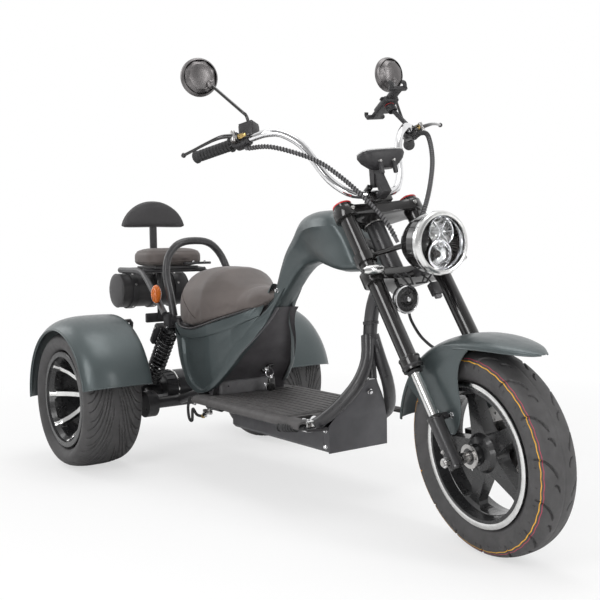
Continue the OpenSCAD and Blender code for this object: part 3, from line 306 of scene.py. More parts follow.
class Shape:
    """Faces gathered from several forms and made into one piece. Lengths are those of the frame `at`."""

    def __init__(self, at):
        self.at = at
        self.points = []
        self.faces = []
        self.looks = []
        self.names = []

    def add(self, points, faces, look, at=None):
        if look not in self.names:
            self.names.append(look)
        m = np.array(self.at if at is None else self.at @ at)
        p = np.asarray(points, float)
        start = len(self.points)
        self.points.extend(map(tuple, p @ m[:3, :3].T + m[:3, 3]))
        self.faces.extend([tuple(i + start for i in f) for f in faces])
        self.looks.extend([self.names.index(look)] * len(faces))
        return self

    def lathe(self, rows, look, at=None, sides=40, phase=0.0):
        """Rows of radius and height turned about Z; a row of radius 0 closes the form."""
        a = np.arange(sides) * 2 * math.pi / sides + phase
        points = [(r * math.cos(t), r * math.sin(t), z) for r, z in rows for t in a]
        return self.add(points, grid_faces(len(rows), sides), look, at)

    def tube(self, path, radius, look, at=None, sides=10, closed=False):
        p = np.asarray(path, float)
        n = len(p)
        radius = np.broadcast_to(radius, n)
        step = np.roll(p, -1, 0) - np.roll(p, 1, 0) if closed else np.gradient(p, axis=0)
        t = step / np.linalg.norm(step, axis=1)[:, None]
        side = np.cross(t[0], (0.31, 0.2, 0.93))
        points = []
        for i in range(n):
            side = side - side.dot(t[i]) * t[i]
            side /= np.linalg.norm(side)
            other = np.cross(t[i], side)
            for k in range(sides):
                a = 2 * math.pi * k / sides
                points.append(p[i] + radius[i] * (math.cos(a) * side + math.sin(a) * other))
        return self.add(points, grid_faces(n, sides, looped=closed, caps=not closed), look, at)

    def take(self, bm, look, at):
        bm.verts.index_update()
        self.add([v.co[:] for v in bm.verts], [[v.index for v in f.verts] for f in bm.faces], look, at)
        bm.free()
        return self

    def block(self, size, centre, look, at=None, bevel=2.0, steps=2):
        bm = bmesh.new()
        bmesh.ops.create_cube(bm, size=1)
        bmesh.ops.scale(bm, vec=size, verts=bm.verts)
        if bevel:
            offset = min(bevel, min(size) * 0.45)
            bmesh.ops.bevel(bm, geom=bm.edges, offset=offset, segments=steps, affect="EDGES", profile=0.5)
        bmesh.ops.translate(bm, vec=centre, verts=bm.verts)
        return self.take(bm, look, at)

    def slab(self, outline, low, high, look, at=None, bevel=1.0):
        """A plate with that outline in X and Y, its edges bevelled."""
        bm = bmesh.new()
        face = bm.faces.new([bm.verts.new((x, y, low)) for x, y in outline])
        grown = bmesh.ops.extrude_face_region(bm, geom=[face])["geom"]
        upper = [g for g in grown if isinstance(g, bmesh.types.BMVert)]
        bmesh.ops.translate(bm, vec=(0, 0, high - low), verts=upper)
        bmesh.ops.recalc_face_normals(bm, faces=bm.faces)
        if bevel:
            rims = [e for e in bm.edges if abs(e.verts[0].co.z - e.verts[1].co.z) < 1e-6]
            bmesh.ops.bevel(bm, geom=rims, offset=bevel, segments=2, affect="EDGES", profile=0.5)
        return self.take(bm, look, at)

    def bolt(self, point, axis, d, look="steel"):
        """Hexagon head on a washer, standing on point along axis."""
        at = Matrix.Translation(point) @ Vector(axis).to_track_quat("Z", "Y").to_matrix().to_4x4()
        r = d / 2
        head = [(r, d * 0.1), (r, d * 0.5), (r * 0.86, d * 0.6), (r * 0.4, d * 0.62), (0, d * 0.62)]
        self.lathe([(0, 0), (r * 1.25, 0), (r * 1.25, d * 0.1), (r, d * 0.16)], look, at, 20)
        return self.lathe(head, look, at, 6)

    def make(self, name, body, slot=None, replaces=(), angle=38, weld=1e-6):
        mesh = bpy.data.meshes.new(name)
        mesh.from_pydata(self.points, [], self.faces)
        mesh.polygons.foreach_set("material_index", self.looks)
        for key in self.names:
            mesh.materials.append(LOOK[key])
        bm = bmesh.new()
        bm.from_mesh(mesh)
        bmesh.ops.remove_doubles(bm, verts=bm.verts, dist=weld)
        bmesh.ops.dissolve_degenerate(bm, edges=bm.edges, dist=1e-7)
        bmesh.ops.recalc_face_normals(bm, faces=bm.faces)
        bm.to_mesh(mesh)
        bm.free()
        mesh.shade_smooth()
        mesh.set_sharp_from_angle(angle=math.radians(angle))
        obj = bpy.data.objects.new(name, mesh)
        bpy.context.scene.collection.objects.link(obj)
        return settle(obj, body, replaces)


def settle(obj, body, replaces=()):
    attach(obj, body)
    if replaces:
        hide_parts(*replaces)
    return obj


def curve_through(corners, step):
    """Points of a smooth curve through the corners, `step` to a corner."""
    p = [np.array(c, float) for c in corners]
    p = [2 * p[0] - p[1]] + p + [2 * p[-1] - p[-2]]
    out = []
    for a, b, c, d in zip(p, p[1:], p[2:], p[3:]):
        for t in np.arange(step) / step:
            bend = (2 * a - 5 * b + 4 * c - d) * t * t + (3 * b - a - 3 * c + d) * t ** 3
            out.append(0.5 * (2 * b + (c - a) * t + bend))
    return np.array(out + [p[-2]])


def run_along(points):
    """Length of the line up to each of its points."""
    return np.concatenate([[0], np.cumsum(np.linalg.norm(np.diff(points, axis=0), axis=1))])


# Cables in their spiral wrap, from the controls down to the lower clamp
CABLES = {
    "left": [(-16, 286, 1001), (36, 276, 982), (100, 236, 920), (120, 190, 820), (118, 130, 720),
             (110, 70, 640), (96, 30, 590)],
    "right": [(-16, -286, 1001), (40, -240, 958), (80, -160, 880), (92, -110, 810), (100, -66, 720),
              (104, -40, 640), (92, -24, 585)],
}
CABLE_RADIUS = 5.4
WRAP_PITCH = 9
WRAP_RADIUS = 2.1
WRAP_REACH = 5.2
BRAKE_HOSE = [(-16, 14, 476), (-44, 19, 440), (-50, 20, 414), (-42, 20, 369), (-22, 20, 330), (-4, 20, 308),
              (12, 20, 291)]
REAR_HOSE = [(238, -112, 236), (234, -118, 200), (246, -121, 164), (266, -121, 160), (272, -121, 200),
             (300, -121, 184), (342, -121, 186), (374, -121, 206), (404, -121, 226)]


def lay_cable(side):
    route = curve_through(CABLES[side], 6)
    length = run_along(route)[-1]
    core = Shape(FORK).tube(route, CABLE_RADIUS, "trim_grey").make("cable_%s" % side, "fork", "grip_rubber")
    turns = int(length / WRAP_PITCH)
    fine = curve_through(route, 4)
    along = run_along(fine)
    stops = np.linspace(0.01, 0.97, turns * 12) * along[-1]
    middle = np.array([np.interp(stops, along, fine[:, k]) for k in range(3)]).T
    t = np.gradient(middle, axis=0)
    t /= np.linalg.norm(t, axis=1)[:, None]
    a = np.cross(t, (0.0, 0.0, 1.0))
    a /= np.linalg.norm(a, axis=1)[:, None]
    b = np.cross(t, a)
    w = 2 * math.pi * turns * stops / along[-1]
    helix = middle + WRAP_REACH * (np.cos(w)[:, None] * a + np.sin(w)[:, None] * b)
    spiral = Shape(FORK).tube(helix, WRAP_RADIUS, "grip_rubber", sides=6)
    spiral = spiral.make("cable_wrap_%s" % side, "fork", "dark_plastic")


def lay_hose(name, body, at, corners, diameter):
    route = curve_through(corners, 8)
    piece = Shape(at).tube(route, diameter / 2, "grip_rubber", sides=12).make(name, body, "grip_rubber")


# Tyres with their tread cut into the mesh
# Stripes of the front tyre: first and last place across the tread, look
TYRE_STRIPES = [(52.4, 54.2, "stripe_red"), (58.8, 61, "stripe_yellow")]
# Grooves: first and last place across the tread, start and sweep round it, half width
FRONT_GROOVES = [(74, 21, 0, 46, 2.7), (30, 14, 64, 20, 2.3)]
# The same with the start as a share of the pattern's period, after the sweep
REAR_GROOVES = [(7, 92, 250, 0.0, 2.1), (20, 98, 190, 0.34, 1.9), (34, 102, 130, 0.67, 1.8)]
# Half section of a tyre from its bead: share of the half width, share of the height
TYRE_ROWS = [(0.72, 0.0), (0.9, 0.16), (1.0, 0.42), (0.96, 0.68), (0.76, 0.88), (0.4, 0.98)]


def wrap(s, period):
    return (s + period / 2) % period - period / 2


def cut(distance, half, soft=0.7):
    return np.clip((half - distance) / soft, 0, 1)


def front_tread(u, s, crown):
    """A groove round the middle, long sickles from the shoulders and a short hook after each of them."""
    period = 2 * math.pi * crown / 15
    depth = 2.4 * cut(abs(u), 1.3)
    for sign, phase in ((1, 0.0), (-1, period / 2)):
        v = sign * u
        for first, last, start, sweep, half in FRONT_GROOVES:
            t = np.clip((first - v) / (first - last), 0, 1)
            line = phase + start + sweep * t ** 2.6
            slope = sweep * 2.6 * t ** 1.6 / (first - last)
            away = abs(wrap(s - line, period)) / np.sqrt(1 + slope ** 2)
            inside = cut(abs(v - (first + last) / 2), (first - last) / 2, 1.5)
            depth = np.maximum(depth, 4.6 * cut(away, half) * inside)
        tick = abs(wrap(s - phase - 20, period / 2))
        depth = np.maximum(depth, 2.6 * cut(tick, 2.4) * cut(abs(v - 72), 3.4))
    return depth


def rear_tread(u, s, crown):
    period = 2 * math.pi * crown / 15
    depth = np.zeros_like(u)
    for sign, phase in ((1, 0.0), (-1, 0.5)):
        v = sign * u
        for first, last, sweep, start, half in REAR_GROOVES:
            t = np.clip((v - first) / (last - first), 0, 1)
            line = (start + phase) * period + sweep * (1 - t) ** 2.2
            slope = 2.2 * sweep * (1 - t) ** 1.2 / (last - first)
            away = abs(wrap(s - line, period)) / np.sqrt(1 + slope ** 2)
            inside = cut(abs(v - (first + last) / 2), (last - first) / 2, 3)
            depth = np.maximum(depth, 3.8 * cut(away, half) * inside)
    return depth


def lay_tyre(name, body, node, at, crown, tread, lip, width, rows, around, stripes=()):
    half = [(f * width / 2, lip + (crown - lip) * h) for f, h in TYRE_ROWS]
    corners = half + [(0, crown)] + [(-z, r) for z, r in half[::-1]]
    line = curve_through(corners, 24)
    gap = run_along(line)
    middle = gap[-1] / 2
    reach = middle * 0.74
    flank = np.linspace(reach, middle, 10)[1:]
    u = np.concatenate([-flank[::-1], np.linspace(-reach, reach, rows), flank])
    for low, high, look in stripes:
        u = np.sort(np.concatenate([u[(u < low - 0.4) | (u > high + 0.4)], [low, high]]))
    slope = np.gradient(line, axis=0)
    slope /= np.linalg.norm(slope, axis=1)[:, None]
    theta = np.arange(around) * 2 * math.pi / around
    uu, ss = np.meshgrid(u, theta * crown, indexing="ij")
    if stripes:
        waist = (stripes[0][0] + stripes[-1][1]) / 2
        uu = uu + 0.9 * (abs(wrap(ss, 34)) / 8.5 - 1) * np.exp(-((uu - waist) / 10) ** 2)
    z, r, dz, dr = (np.interp(uu + middle, gap, v) for v in np.hstack([line, slope]).T)
    depth = tread(uu, ss, crown)
    rr = r + dz * depth
    zz = z - dr * depth
    points = np.stack([rr * np.cos(theta), rr * np.sin(theta), zz], -1).reshape(-1, 3)
    m = len(u)
    ring = np.arange(around)
    after = (ring + 1) % around
    shape = Shape(at)
    look_of = ["tyre"] * (m - 1)
    for low, high, look in stripes:
        for i in range(m - 1):
            if u[i] >= low - 1e-6 and u[i + 1] <= high + 1e-6:
                look_of[i] = look
    shape.add(points, [], "tyre")
    for i in range(m - 1):
        if look_of[i] not in shape.names:
            shape.names.append(look_of[i])
        here, there = i * around, (i + 1) * around
        quads = np.stack([here + ring, here + after, there + after, there + ring], 1)
        shape.faces.extend(map(tuple, quads.tolist()))
        shape.looks.extend([shape.names.index(look_of[i])] * around)
    bead = [(r[-1, 0], z[-1, 0]), (lip - 8, z[-1, 0] * 0.97), (lip - 8, z[0, 0] * 0.97), (r[0, 0], z[0, 0])]
    shape.lathe(bead, "tyre", sides=around)
    return shape.make(name, body, "tyre", [node], angle=50)


# Soft pieces: a swelled copy of the solid, sewn afterwards
def evaluated_mesh(obj):
    graph = bpy.context.evaluated_depsgraph_get()
    return bpy.data.meshes.new_from_object(obj.evaluated_get(graph))


def points_of(mesh):
    co = np.empty(len(mesh.vertices) * 3)
    mesh.vertices.foreach_get("co", co)
    return co.reshape(-1, 3)


def move_points(obj, co):
    obj.data.vertices.foreach_set("co", co.ravel())
    return obj


def swell(name, node, voxel, cap, shrink, pressure=4.0, frames=20):
    """Padded form of a solid: remeshed, blown up by cloth pressure and held within `cap`."""
    obj = bpy.data.objects.new(name, NODES[node].data.copy())
    bpy.context.scene.collection.objects.link(obj)
    co = points_of(obj.data)
    low, high = co.min(0), co.max(0)
    centre, size = (low + high) / 2, high - low
    move_points(obj, centre + (co - centre) * (1 - 2 * shrink / size))
    remesh = obj.modifiers.new("remesh", "REMESH")
    remesh.mode = "VOXEL"
    remesh.voxel_size = voxel
    smooth = obj.modifiers.new("smooth", "SMOOTH")
    smooth.iterations = 6
    obj.data = evaluated_mesh(obj)
    obj.modifiers.clear()
    rest = points_of(obj.data)
    cloth = obj.modifiers.new("cloth", "CLOTH")
    s = cloth.settings
    s.use_pressure = True
    s.uniform_pressure_force = pressure
    s.effector_weights.gravity = 0
    s.tension_stiffness = 20
    s.compression_stiffness = 20
    s.bending_stiffness = 2
    cloth.point_cache.frame_end = frames
    scene = bpy.context.scene
    for f in range(1, frames + 1):
        scene.frame_set(f)
    blown = points_of(evaluated_mesh(obj))
    scene.frame_set(1)
    obj.modifiers.clear()
    move = blown - rest
    move -= move.mean(0)
    far = np.linalg.norm(move, axis=1)
    move *= np.minimum(1, cap / np.maximum(far, 1e-9))[:, None]
    move_points(obj, np.clip(rest + move, low, high))
    obj.data.update()
    return obj


def upholster(obj, leather, node):
    obj.data.materials.clear()
    obj.data.materials.append(LOOK[leather])
    soft = obj.modifiers.new("smooth", "SMOOTH")
    soft.iterations = 3
    fine = obj.modifiers.new("fine", "SUBSURF")
    fine.levels = fine.render_levels = 1
    obj.data = evaluated_mesh(obj)
    obj.modifiers.clear()
    obj.data.shade_smooth()
    settle(obj, "chassis", [node])
    return obj


def surface_of(obj):
    mesh = obj.data
    m = obj.matrix_world
    return BVHTree.FromPolygons([m @ v.co for v in mesh.vertices], [p.vertices[:] for p in mesh.polygons])


def drape(tree, starts, aims, sink=0.0):
    """Points where lines from starts toward aims first meet the surface, in the body frame."""
    back = BODY.inverted()
    out = []
    for s, a in zip(starts, aims):
        s, a = BODY @ Vector(s), BODY @ Vector(a)
        hit, normal = tree.ray_cast(s, (a - s).normalized())[:2]
        if hit is not None:
            out.append((back @ (hit - normal * sink / 1000))[:])
    return out


def seam(shape, line, look):
    """A stitched seam: a raised welt with a row of stitches beside it."""
    shape.tube(line, 1.5, look, sides=6)
    for p, q in zip(np.array(line), np.array(line)[1:]):
        shape.tube([p + (3.2, 0, 0.4), p + (q - p) * 0.55 + (3.2, 0, 0.4)], 0.7, "thread", sides=5)


AROUND = np.radians(np.linspace(0, 360, 97))[:-1]
# Lower edge of the saddle: x, half width, height
SADDLE_EDGE = [(206, 136, 506), (250, 150, 490), (320, 154, 486), (392, 153, 499), (455, 142, 518),
               (500, 127, 532), (535, 107, 544), (565, 84, 556), (588, 56, 570), (604, 38, 586)]


def shape_saddle(obj):
    """Lets the crest fall to a waist before the nose and draws in the flanks above it."""
    co = points_of(obj.data)
    x, z = co[:, 0] * 1000 + MIDDLE_X, co[:, 2] * 1000
    edge = np.interp(x, [e[0] for e in SADDLE_EDGE], [e[2] for e in SADDLE_EDGE])
    rise = np.maximum(z - edge, 0)
    gain = np.interp(x, [419, 473, 508, 532, 566, 590, 616], [1, 0.88, 0.81, 0.81, 0.93, 1.05, 1.1])
    co[:, 2] = (np.minimum(z, edge) + rise * gain) / 1000
    co[:, 1] *= 1 - np.interp(x, [390, 520, 590], [0, 0.3, 0.02]) * np.clip(rise / 100, 0, 1)
    co[:, 0] += np.interp(x, [540, 610], [0, 0.05])
    co[:, 1] *= np.interp(x, [550, 600], [1, 1.35])
    return move_points(obj, co)


def spread(obj, gain):
    """The form made larger about its middle."""
    co = points_of(obj.data)
    middle = (co.min(0) + co.max(0)) / 2
    return move_points(obj, middle + (co - middle) * gain)


def make_saddle():
    cover = shape_saddle(swell("saddle_cover", "saddle", voxel=0.006, cap=0.006, shrink=0.004))
    saddle = upholster(cover, "seat_leather", "saddle")
    tree = surface_of(saddle)
    trim = Shape(BODY)
    middle, up, across = np.array((300, 0, 556)), np.array((-0.8, 0, 0.6)), np.array((0, 1, 0))
    angles = np.radians(np.linspace(-112, 112, 90))
    starts = [middle + 400 * (math.cos(a) * up + math.sin(a) * across) for a in angles]
    seam(trim, drape(tree, starts, [middle] * len(starts), 0.2), "thread")
    # Dark welts along both lower edges of the saddle: a trim strip that also paints the shade of the gap
    # line above the side panels
    for way in (1, -1):
        edge = curve_through([(x, way * (y + 0.5), z - 1) for x, y, z in SADDLE_EDGE], 6)
        trim.tube(edge, 3.6, "dark_plastic", sides=8)
    trim.block((66, 270, 34), (238, 0, 484), "dark_plastic", bevel=12, steps=3)
    trim.make("saddle_trim", "chassis", "seat_leather")


PILLION_X = -108
BACKREST = np.array((-219, 0, 880))


def make_pillion():
    pad = swell("pillion_cover", "pillion_pad", voxel=0.005, cap=0.006, shrink=0.003)
    cover = spread(pad, (1.08, 1.1, 1))
    tree = surface_of(upholster(cover, "seat_leather", "pillion_pad"))
    piping = Shape(BODY)
    for z in (706, 742):
        starts = [(PILLION_X + 260 * math.cos(a), 260 * math.sin(a), z) for a in AROUND]
        line = drape(tree, starts, [(PILLION_X, 0, z)] * len(AROUND), 0.4)
        piping.tube(line, 1.8, "seat_leather", sides=6, closed=True)
    piping.block((20, 112, 9), (-13, 74, 697), "dark_plastic", bevel=2)
    for y in (56, 108):
        piping.bolt((-13, y, 701), (0, 0, 1), 9, "chrome")
    piping.make("pillion_piping", "chassis", "seat_leather")


def make_backrest():
    pad = swell("backrest_cover", "backrest_pad", voxel=0.005, cap=0.006, shrink=0.003)
    cover = spread(pad, (1, 1.2, 1.08))
    tree = surface_of(upholster(cover, "black_leather", "backrest_pad"))
    edge = Shape(BODY)
    starts = [BACKREST + (0, 300 * math.cos(a), 300 * math.sin(a)) for a in AROUND]
    line = drape(tree, starts, [BACKREST] * len(AROUND), 0.4)
    edge.tube(line, 2.0, "black_leather", sides=6, closed=True)
    edge.make("backrest_piping", "chassis", "black_leather")


BAG = BODY @ shift(-262, 0, 592.2) @ turn("X", 90)


def make_bag():
    cover = swell("bag_cover", "tool_bag", voxel=0.006, cap=0.008, shrink=0.004)
    tree = surface_of(upholster(cover, "black_leather", "tool_bag"))
    trim = Shape(BAG)
    ring = np.radians(np.linspace(0, 360, 73))[:-1]
    for y in (-141, 141):
        starts = [(-262 + 200 * math.cos(a), y, 592 + 200 * math.sin(a)) for a in ring]
        line = drape(tree, starts, [(-262, y, 592)] * len(ring), 0.4)
        trim.tube(line, 2.8, "black_leather", BAG.inverted() @ BODY, 6, True)
    for y in (-92, 0, 92):
        rows = [(69, y - 13), (71.6, y - 12.4), (72, y), (71.6, y + 12.4), (69, y + 13)]
        trim.lathe(rows, "dark_plastic", sides=64)
        for a in (20, 60, 130, 175, 215, 300):
            rivet = turn("Z", a) @ shift(71.6, 0, y) @ turn("Y", 90)
            trim.lathe([(4.5, 0), (4.2, 1.4), (2.5, 2.4), (0, 2.7)], "steel", rivet, 14)
        buckle = turn("Z", 95) @ shift(72.4, 0, y) @ turn("Y", 90)
        trim.block((22, 34, 3), (0, 0, 1), "steel", buckle, bevel=1.2)
    trim.make("bag_straps", "chassis", "black_leather")


# Headlight: dark reflector house, upper reflector, lower projector and a clear front
def make_headlight():
    inside = Shape(LAMP)
    inside.lathe([(68, -14), (67, -20), (63, -40), (54, -62), (38, -78), (0, -84)], "lamp_dark", sides=64)
    inside.lathe([(68, -12), (66, -10.5), (64, -14), (66, -18)], "chrome", sides=64)
    upper = shift(-27, 8, 0)
    inside.lathe([(37, -14), (35, -17), (31, -27), (23, -38), (10, -46), (0, -48)], "polished", upper, 12)
    inside.lathe([(38, -13.5), (37, -11.6), (35, -13.5)], "chrome", upper, 48)
    inside.lathe([(7, -46), (7, -28), (5, -22), (0, -20)], "pale_plastic", upper, 20)
    for a in (35, 90, 145, 215, 325):
        inside.block((30, 1.6, 10), (18, 0, -20), "chrome", upper @ turn("Z", a), bevel=0.4)
    lower = shift(28, -2, 0)
    inside.lathe([(38, -24), (38, -15), (36, -11), (32, -10), (29, -13), (28, -20)], "chrome", lower, 56)
    inside.lathe([(28, -20), (27.5, -15), (24, -11), (17, -7.6), (9, -5.8), (0, -5.2)], "lamp_glass", lower,
                 48)
    inside.lathe([(26, -22), (20, -28), (10, -32), (0, -33)], "polished", lower, 40)
    inside.lathe([(10, -30), (9, -24), (5, -20), (0, -19)], "lamp_dark", lower, 24)
    for k in range(14):
        a = -46 + 92 * k / 13
        inside.block((30, 1.2, 3), (0, 0, 0), "lamp_dark", turn("Z", 90 + a) @ shift(52, 0, -22), bevel=0.3)
    inside.make("headlight_inside", "fork", "chrome")
    glass = Shape(LAMP)
    glass.lathe([(67.5, -14), (67.5, 0.6), (64, 2.2), (47, 4.4), (24, 6.2), (0, 6.6)], "lamp_glass",
                sides=72)
    glass.make("headlight_glass", "fork", "lamp_glass", ["headlight_lens"], angle=60)
    trim = Shape(LAMP)
    trim.lathe([(80.5, -15), (81.4, -14), (81.4, -12.5), (80.5, -11.5)], "chrome", sides=72)
    trim.make("headlight_trim", "fork", "chrome")


# Wheel trim
def make_front_wheel():
    lay_tyre("front_tyre_tread", "front_wheel", "front_tyre", FRONT, FRONT_RADIUS, front_tread,
             lip=180.3, width=112, rows=84, around=760, stripes=TYRE_STRIPES)
    trim = Shape(FRONT)
    for side in (1, -1):
        rows = [(180.2, 47), (180.3, 49.4), (178.5, 50.4), (172, 50.2), (168, 50), (166, 48.6)]
        lip = [(166.2, 48.9), (164, 49.6), (158.6, 49.6), (157.2, 43)]
        trim.lathe([(r, side * z) for r, z in rows], "polished", sides=128)
        trim.lathe([(r, side * z) for r, z in lip], "rim_black", sides=128)
    for k in range(5):
        trim.bolt(turn("Z", 72 * k) @ Vector((38, 0, 30.5)), (0, 0, 1), 9)
    trim.lathe([(27.4, -58), (30, -58.6), (31, -60), (30, -62.4), (20, -62.8)], "steel", sides=48)
    trim.lathe([(27.2, -40), (27.6, -41), (27.6, -44), (27.2, -45)], "rim_black", sides=48)
    trim.tube([(158, 14, 0), (150, 14, 6), (140, 14, 10)], 3, "grip_rubber", sides=8)
    trim.make("front_wheel_trim", "front_wheel", "rim_black")


def bowl_height(r):
    return float(np.interp(r, [43, 80, 112, 134, 146], [2, 14, 36, 62, 85]))


def make_rear_wheel(side):
    at, body = REAR[side], "rear_wheel_%s" % side
    tyre = "rear_tyre_%s" % side
    lay_tyre(tyre + "_tread", body, tyre, at, REAR_RADIUS, rear_tread,
             lip=166.3, width=210, rows=100, around=640)
    trim = Shape(at)
    for k in range(8):
        spoke = turn("Z", 45 * k)
        points = []
        for r in np.linspace(40, 150, 23):
            half = 8.6 + 3.0 * max(0, (60 - r) / 20) + 5.0 * max(0, (r - 134) / 16)
            lift = 0.5 + bowl_height(min(r, 146))
            near, far = (r, half - 0.9, lift), (r, half, lift - 1.6)
            points += [(r, -half, lift - 1.6), (r, -half + 0.9, lift), near, far]
        trim.add(points, grid_faces(23, 4, around=False), "polished", spoke)
        trim.bolt(spoke @ Vector((34, 0, 3.4)), (0, 0, 1), 8)
        between = turn("Z", 45 * k + 22.5)
        trim.bolt(between @ Vector((143, 0, 60)), between @ Vector((-1, 0, 0.2)), 8)
    trim.lathe([(24, 12.3), (22, 14.6), (15, 16.8), (6, 17.6), (0, 17.8)], "polished", sides=40)
    trim.lathe([(148, 92.6), (149, 93.6), (160, 93.7), (164.4, 93.2), (165.6, 91.6)], "rim_black",
               sides=128)
    trim.tube([(146, 12, 40), (138, 12, 46), (130, 12, 50)], 3, "grip_rubber", sides=8)
    trim.make("rear_wheel_%s_trim" % side, body, "rim_black")


# Smooth and bevelled stand-ins for solids
def smooth_copy(node, body, angle=42, bevel=0.0):
    """The node's own faces, its facets shaded as one surface and its edges rounded by `bevel` metres."""
    obj = bpy.data.objects.new(node + "_skin", NODES[node].data.copy())
    mesh = obj.data
    bm = bmesh.new()
    bm.from_mesh(mesh)
    bmesh.ops.remove_doubles(bm, verts=bm.verts, dist=2e-5)
    if bevel:
        bmesh.ops.dissolve_limit(bm, angle_limit=math.radians(1), verts=bm.verts, edges=bm.edges)
        steep = math.radians(angle)
        sharp = [e for e in bm.edges if len(e.link_faces) == 2 and e.calc_face_angle(0) > steep]
        bmesh.ops.bevel(bm, geom=sharp, offset=bevel, segments=2, affect="EDGES", profile=0.5,
                        clamp_overlap=True)
    bm.to_mesh(mesh)
    bm.free()
    if mesh.attributes.get("custom_normal"):
        mesh.attributes.remove(mesh.attributes["custom_normal"])
    mesh.shade_smooth()
    mesh.set_sharp_from_angle(angle=math.radians(angle))
    mesh.materials.clear()
    mesh.materials.append(LOOK[SLOT[node]])
    bpy.context.scene.collection.objects.link(obj)
    return settle(obj, body, [node])


def loft(shape, rings, look):
    """Quads between rings of equal length, closed round each ring and at both ends."""
    rings = np.asarray(rings, float)
    return shape.add(rings.reshape(-1, 3), grid_faces(*rings.shape[:2], caps=True), look)


def power(v, e):
    return math.copysign(abs(v) ** e, v)


# Rings of the tank from its nose down the neck: top x, z, bottom x, z, half width, hollow under the crease
TANK = [(1000, 848, 1092, 714, 52, 0.03), (972, 860, 1085, 692, 78, 0.08), (930, 862, 1050, 685, 88, 0.11),
        (868, 858, 1005, 686, 84, 0.11), (804, 838, 945, 697, 68, 0.1), (744, 786, 890, 708, 48, 0.07),
        (697, 738, 822, 702, 38, 0.03), (670, 686, 770, 675, 36, 0), (637, 614, 712, 622, 34, 0),
        (584, 556, 652, 563, 34, 0), (552, 520, 618, 526, 34, 0)]
# Half section of the tank: share of the way down, share of the half width, share of the hollow
TANK_FACE = [(0, 0, 0), (0.02, 0.5, 0), (0.11, 0.84, 0), (0.27, 1, 0), (0.36, 1, 0.6), (0.55, 0.98, 1),
             (0.8, 0.95, 0.6), (0.94, 0.82, 0), (1, 0.45, 0)]


def make_tank():
    face = np.concatenate([curve_through(TANK_FACE[:4], 4)[:-1], curve_through(TANK_FACE[3:], 4)])
    rings = []
    for top_x, top_z, low_x, low_z, half, hollow in curve_through(TANK, 6):
        near = [(top_x + (low_x - top_x) * f, half * (w - hollow * h), top_z + (low_z - top_z) * f)
                for f, w, h in face]
        rings.append(near + [(x, -y, z) for x, y, z in near[:0:-1]])
    tank = Shape(BODY)
    loft(tank, rings, "paint")
    for way in (1, -1):
        tank.bolt((666, way * 34, 619), (0, way, 0), 12, "chrome")
    tank.make("tank_skin", "chassis", "paint", ["tank_cover"], angle=32)


# Side panel stations from rear to front: upper x, upper z, lower x, lower z, outward shift
PANEL = [(204, 497, 206, 478, -6), (240, 486, 240, 385, 0), (270, 483, 264, 334, 0),
         (300, 481, 290, 296, 0), (345, 485, 350, 272, 0), (392, 495, 405, 276, 0),
         (420, 504, 442, 290, -2), (455, 514, 477, 315, -10), (500, 528, 528, 366, -25),
         (535, 540, 560, 411, -45), (565, 556, 592, 455, -68), (588, 574, 622, 508, -98),
         (600, 592, 637, 538, -108), (617, 613, 668, 580, -114), (640, 640, 706, 628, -117)]
PANEL_HALF = 152
# Recessed field of the panel: lower line from rear to front, then the crease above it
FIELD_LOW = [(268, 446), (274, 400), (284, 358), (318, 310), (362, 288), (400, 288), (440, 315), (489, 370),
             (549, 454), (585, 512), (600, 538)]
FIELD_TOP = [(268, 446), (290, 451), (330, 451), (381, 456), (440, 468), (507, 489), (554, 514), (582, 528),
             (600, 538)]


def panel_face(x, z):
    """Distance of the panel's face from the middle plane."""
    p = np.array(PANEL, float)
    along = p[:, 2] + (p[:, 0] - p[:, 2]) * (z - p[:, 3]) / (p[:, 1] - p[:, 3])
    return PANEL_HALF + float(np.interp(x, along, p[:, 4]))


def even(corners, count):
    """The smooth curve through the corners with its points evenly spaced."""
    p = curve_through(corners, 8)
    run = run_along(p)
    stops = np.linspace(0, run[-1], count)
    return np.stack([np.interp(stops, run, p[:, 0]), np.interp(stops, run, p[:, 1])], 1)


def make_panel(side):
    way = SIDES[side]
    count = 90
    low = even([(p[2], p[3]) for p in PANEL], count)
    top = even([(p[0], p[1]) for p in PANEL], count)
    field_low, field_top = even(FIELD_LOW, count), even(FIELD_TOP, count)
    fade = np.interp(np.arange(count), [0, 12, 55, 89], [0.5, 1, 0.6, 0])
    rows = []

    def row(line, out):
        outs = np.broadcast_to(out, count)
        rows.append([(x, way * (panel_face(x, z) + o), z) for (x, z), o in zip(line, outs)])

    row(low, -14)
    row(low, -1.5)
    for share, out in ((0.03, 0.8), (0.1, 2), (0.45, 2.4), (0.8, 2.6), (0.9, 1.6), (1, -7)):
        row(low + (field_low - low) * share, out)
    for share in (0.06, 0.3, 0.5, 0.7, 0.94):
        sink = -8.6 + 8 * share * (1 - share) + 3 * share * (1 - fade)
        row(field_low + (field_top - field_low) * share, sink)
    row(field_top, -7 * fade)
    for share, out in ((0.1, 1), (0.2, 2), (0.6, 1.6), (0.94, 1.2), (1, -1)):
        row(field_top + (top - field_top) * share, out)
    row(top, -12)
    panel = Shape(BODY)
    points = [p for r in rows for p in r]
    panel.add(points, grid_faces(len(rows), count, around=False), "paint")
    back = (len(rows) - 1) * count
    panel.add(points, [(k, back + k, back + k + 1, k + 1) for k in range(count - 1)], "dark_plastic")
    panel.make("side_panel_%s_skin" % side, "chassis", "paint", ["side_panel_%s" % side], angle=35)


# Apron levels: height, front x, half width
APRON = [(270, 416, 139), (290, 424, 138.5), (315, 440, 137), (366, 497, 123), (411, 533, 107),
         (455, 572, 82), (508, 610, 50), (543, 634, 36), (566, 655, 33)]


